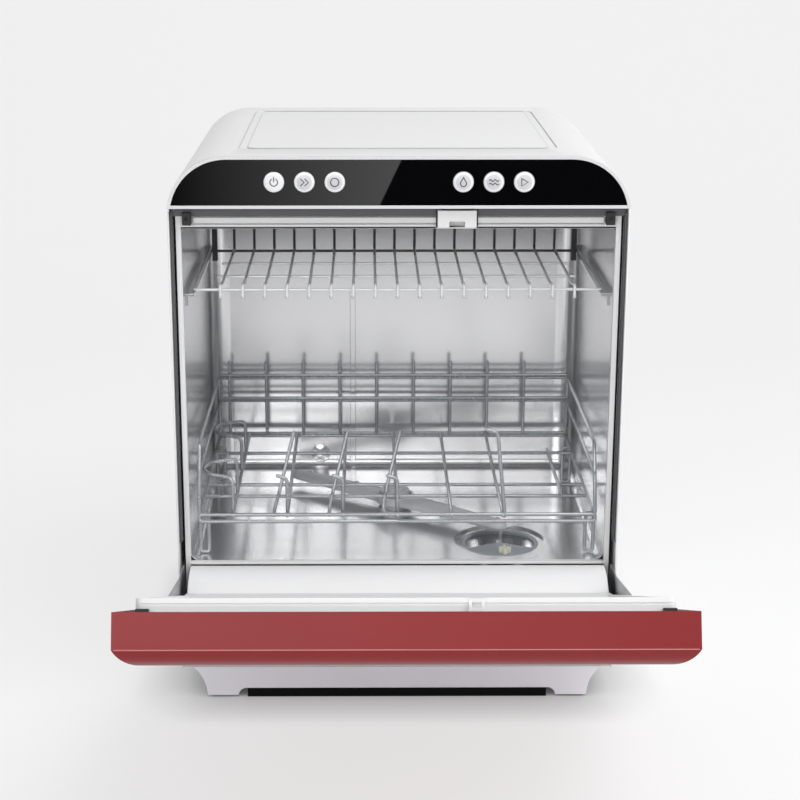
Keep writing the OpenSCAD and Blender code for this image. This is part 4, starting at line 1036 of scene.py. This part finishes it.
def make_thread():
    """The ridges of the inlet's thread and of the drain hose's cuff."""
    low, high = span("inlet_valve")
    ridges = bmesh.new()
    add_ridges(ridges, ((low.x + high.x) / 2, high.y - 14, 84.0), 6, 2.6, 2.0, 12.6, 13.9, 0.8,
               0.15)
    add_on(new_piece("inlet_thread", ridges, MATERIALS["white_plastic"], 25), "inlet_valve")
    low, high = span("drain_hose")
    ribs = bmesh.new()
    add_ridges(ribs, (low.x + 10.5, high.y - 15, 62.0), 4, 3.4, 3.0, 10.2, 11.1, 0.9, 0.4)
    add_on(new_piece("drain_cuff_ribs", ribs, MATERIALS["grey_rubber"], 40), "drain_hose")


# ---- assembly ----

# nodes whose only change is a rounding of their edges, with its width in millimetres
ROUNDING = {
    "outer_shell": 0.6, "rear_panel": 0.4, "base_plinth": 1.2, "base_pan": 0.4,
    "rubber_feet": 0.5, "kick_panel": 0.6,
    "frame_stop_left": 0.8, "frame_stop_right": 0.8, "control_glass": 0.4,
    "control_board": 0.2, "lock_housing": 0.6, "lock_bolt": 0.3,
    "sump": 0.4, "filter_basket": 0.4, "filter_knob": 0.6, "spray_hub": 0.5,
    "spray_nut": 0.6, "wash_pump_housing": 1.2, "wash_pump_motor": 1.0,
    "wash_impeller": 0.3, "flow_heater": 0.8, "drain_pump": 1.0, "drain_impeller": 0.3,
    "sump_hose": 0.4, "spray_hose": 0.4, "drain_hose": 0.5, "inlet_hose": 0.4,
    "inlet_valve": 0.6, "cord_gland": 0.5, "terminal_block": 0.6,
    "door_frame": 0.3, "hinge_arm_left": 0.4, "hinge_arm_right": 0.4,
    "hinge_bracket_left": 0.4, "hinge_bracket_right": 0.4, "hinge_pins": 0.4,
    "door_bumpers": 0.8, "rack_clips": 0.6, "wiring_loom": 0.3,
}
# the same for nodes that take another finish than the part's
OTHER_FINISH = {
    "lock_solenoid": (0.6, "dark_plastic"), "strike_plate": (0.3, "liner_white"),
    "upper_rail_left": (0.6, "stainless_steel"), "upper_rail_right": (0.6, "stainless_steel"),
}

make_camera()
make_stage()
make_reflectors()
make_world()
make_lights()
for node, width in ROUNDING.items():
    softened(node, width)
for node, (width, slot) in OTHER_FINISH.items():
    softened(node, width, material=MATERIALS[slot])
# the bezel takes the darker copy of the white plastic, as painted shade
softened("fascia_bezel", 0.5, material=SHADED_WHITE)
softened("door_panel", 0.9, 3, angle=20.0)
softened("door_liner", 1.0, 3, angle=24.0)
make_tub()
make_front_frame()
make_gasket()
make_lower_rack()
make_upper_rack()
make_spray_arm()
for node in BUTTONS:
    make_button(node)
make_press_shade_lines()
make_door_highlight()
make_arch_shade()
make_screws()
make_thread()
for node, thing in frame["nodes"].items():
    thing.data.materials.clear()
    thing.data.materials.append(MATERIALS[SLOT_OF[node]])

bpy.context.scene.view_settings.view_transform = "Standard"
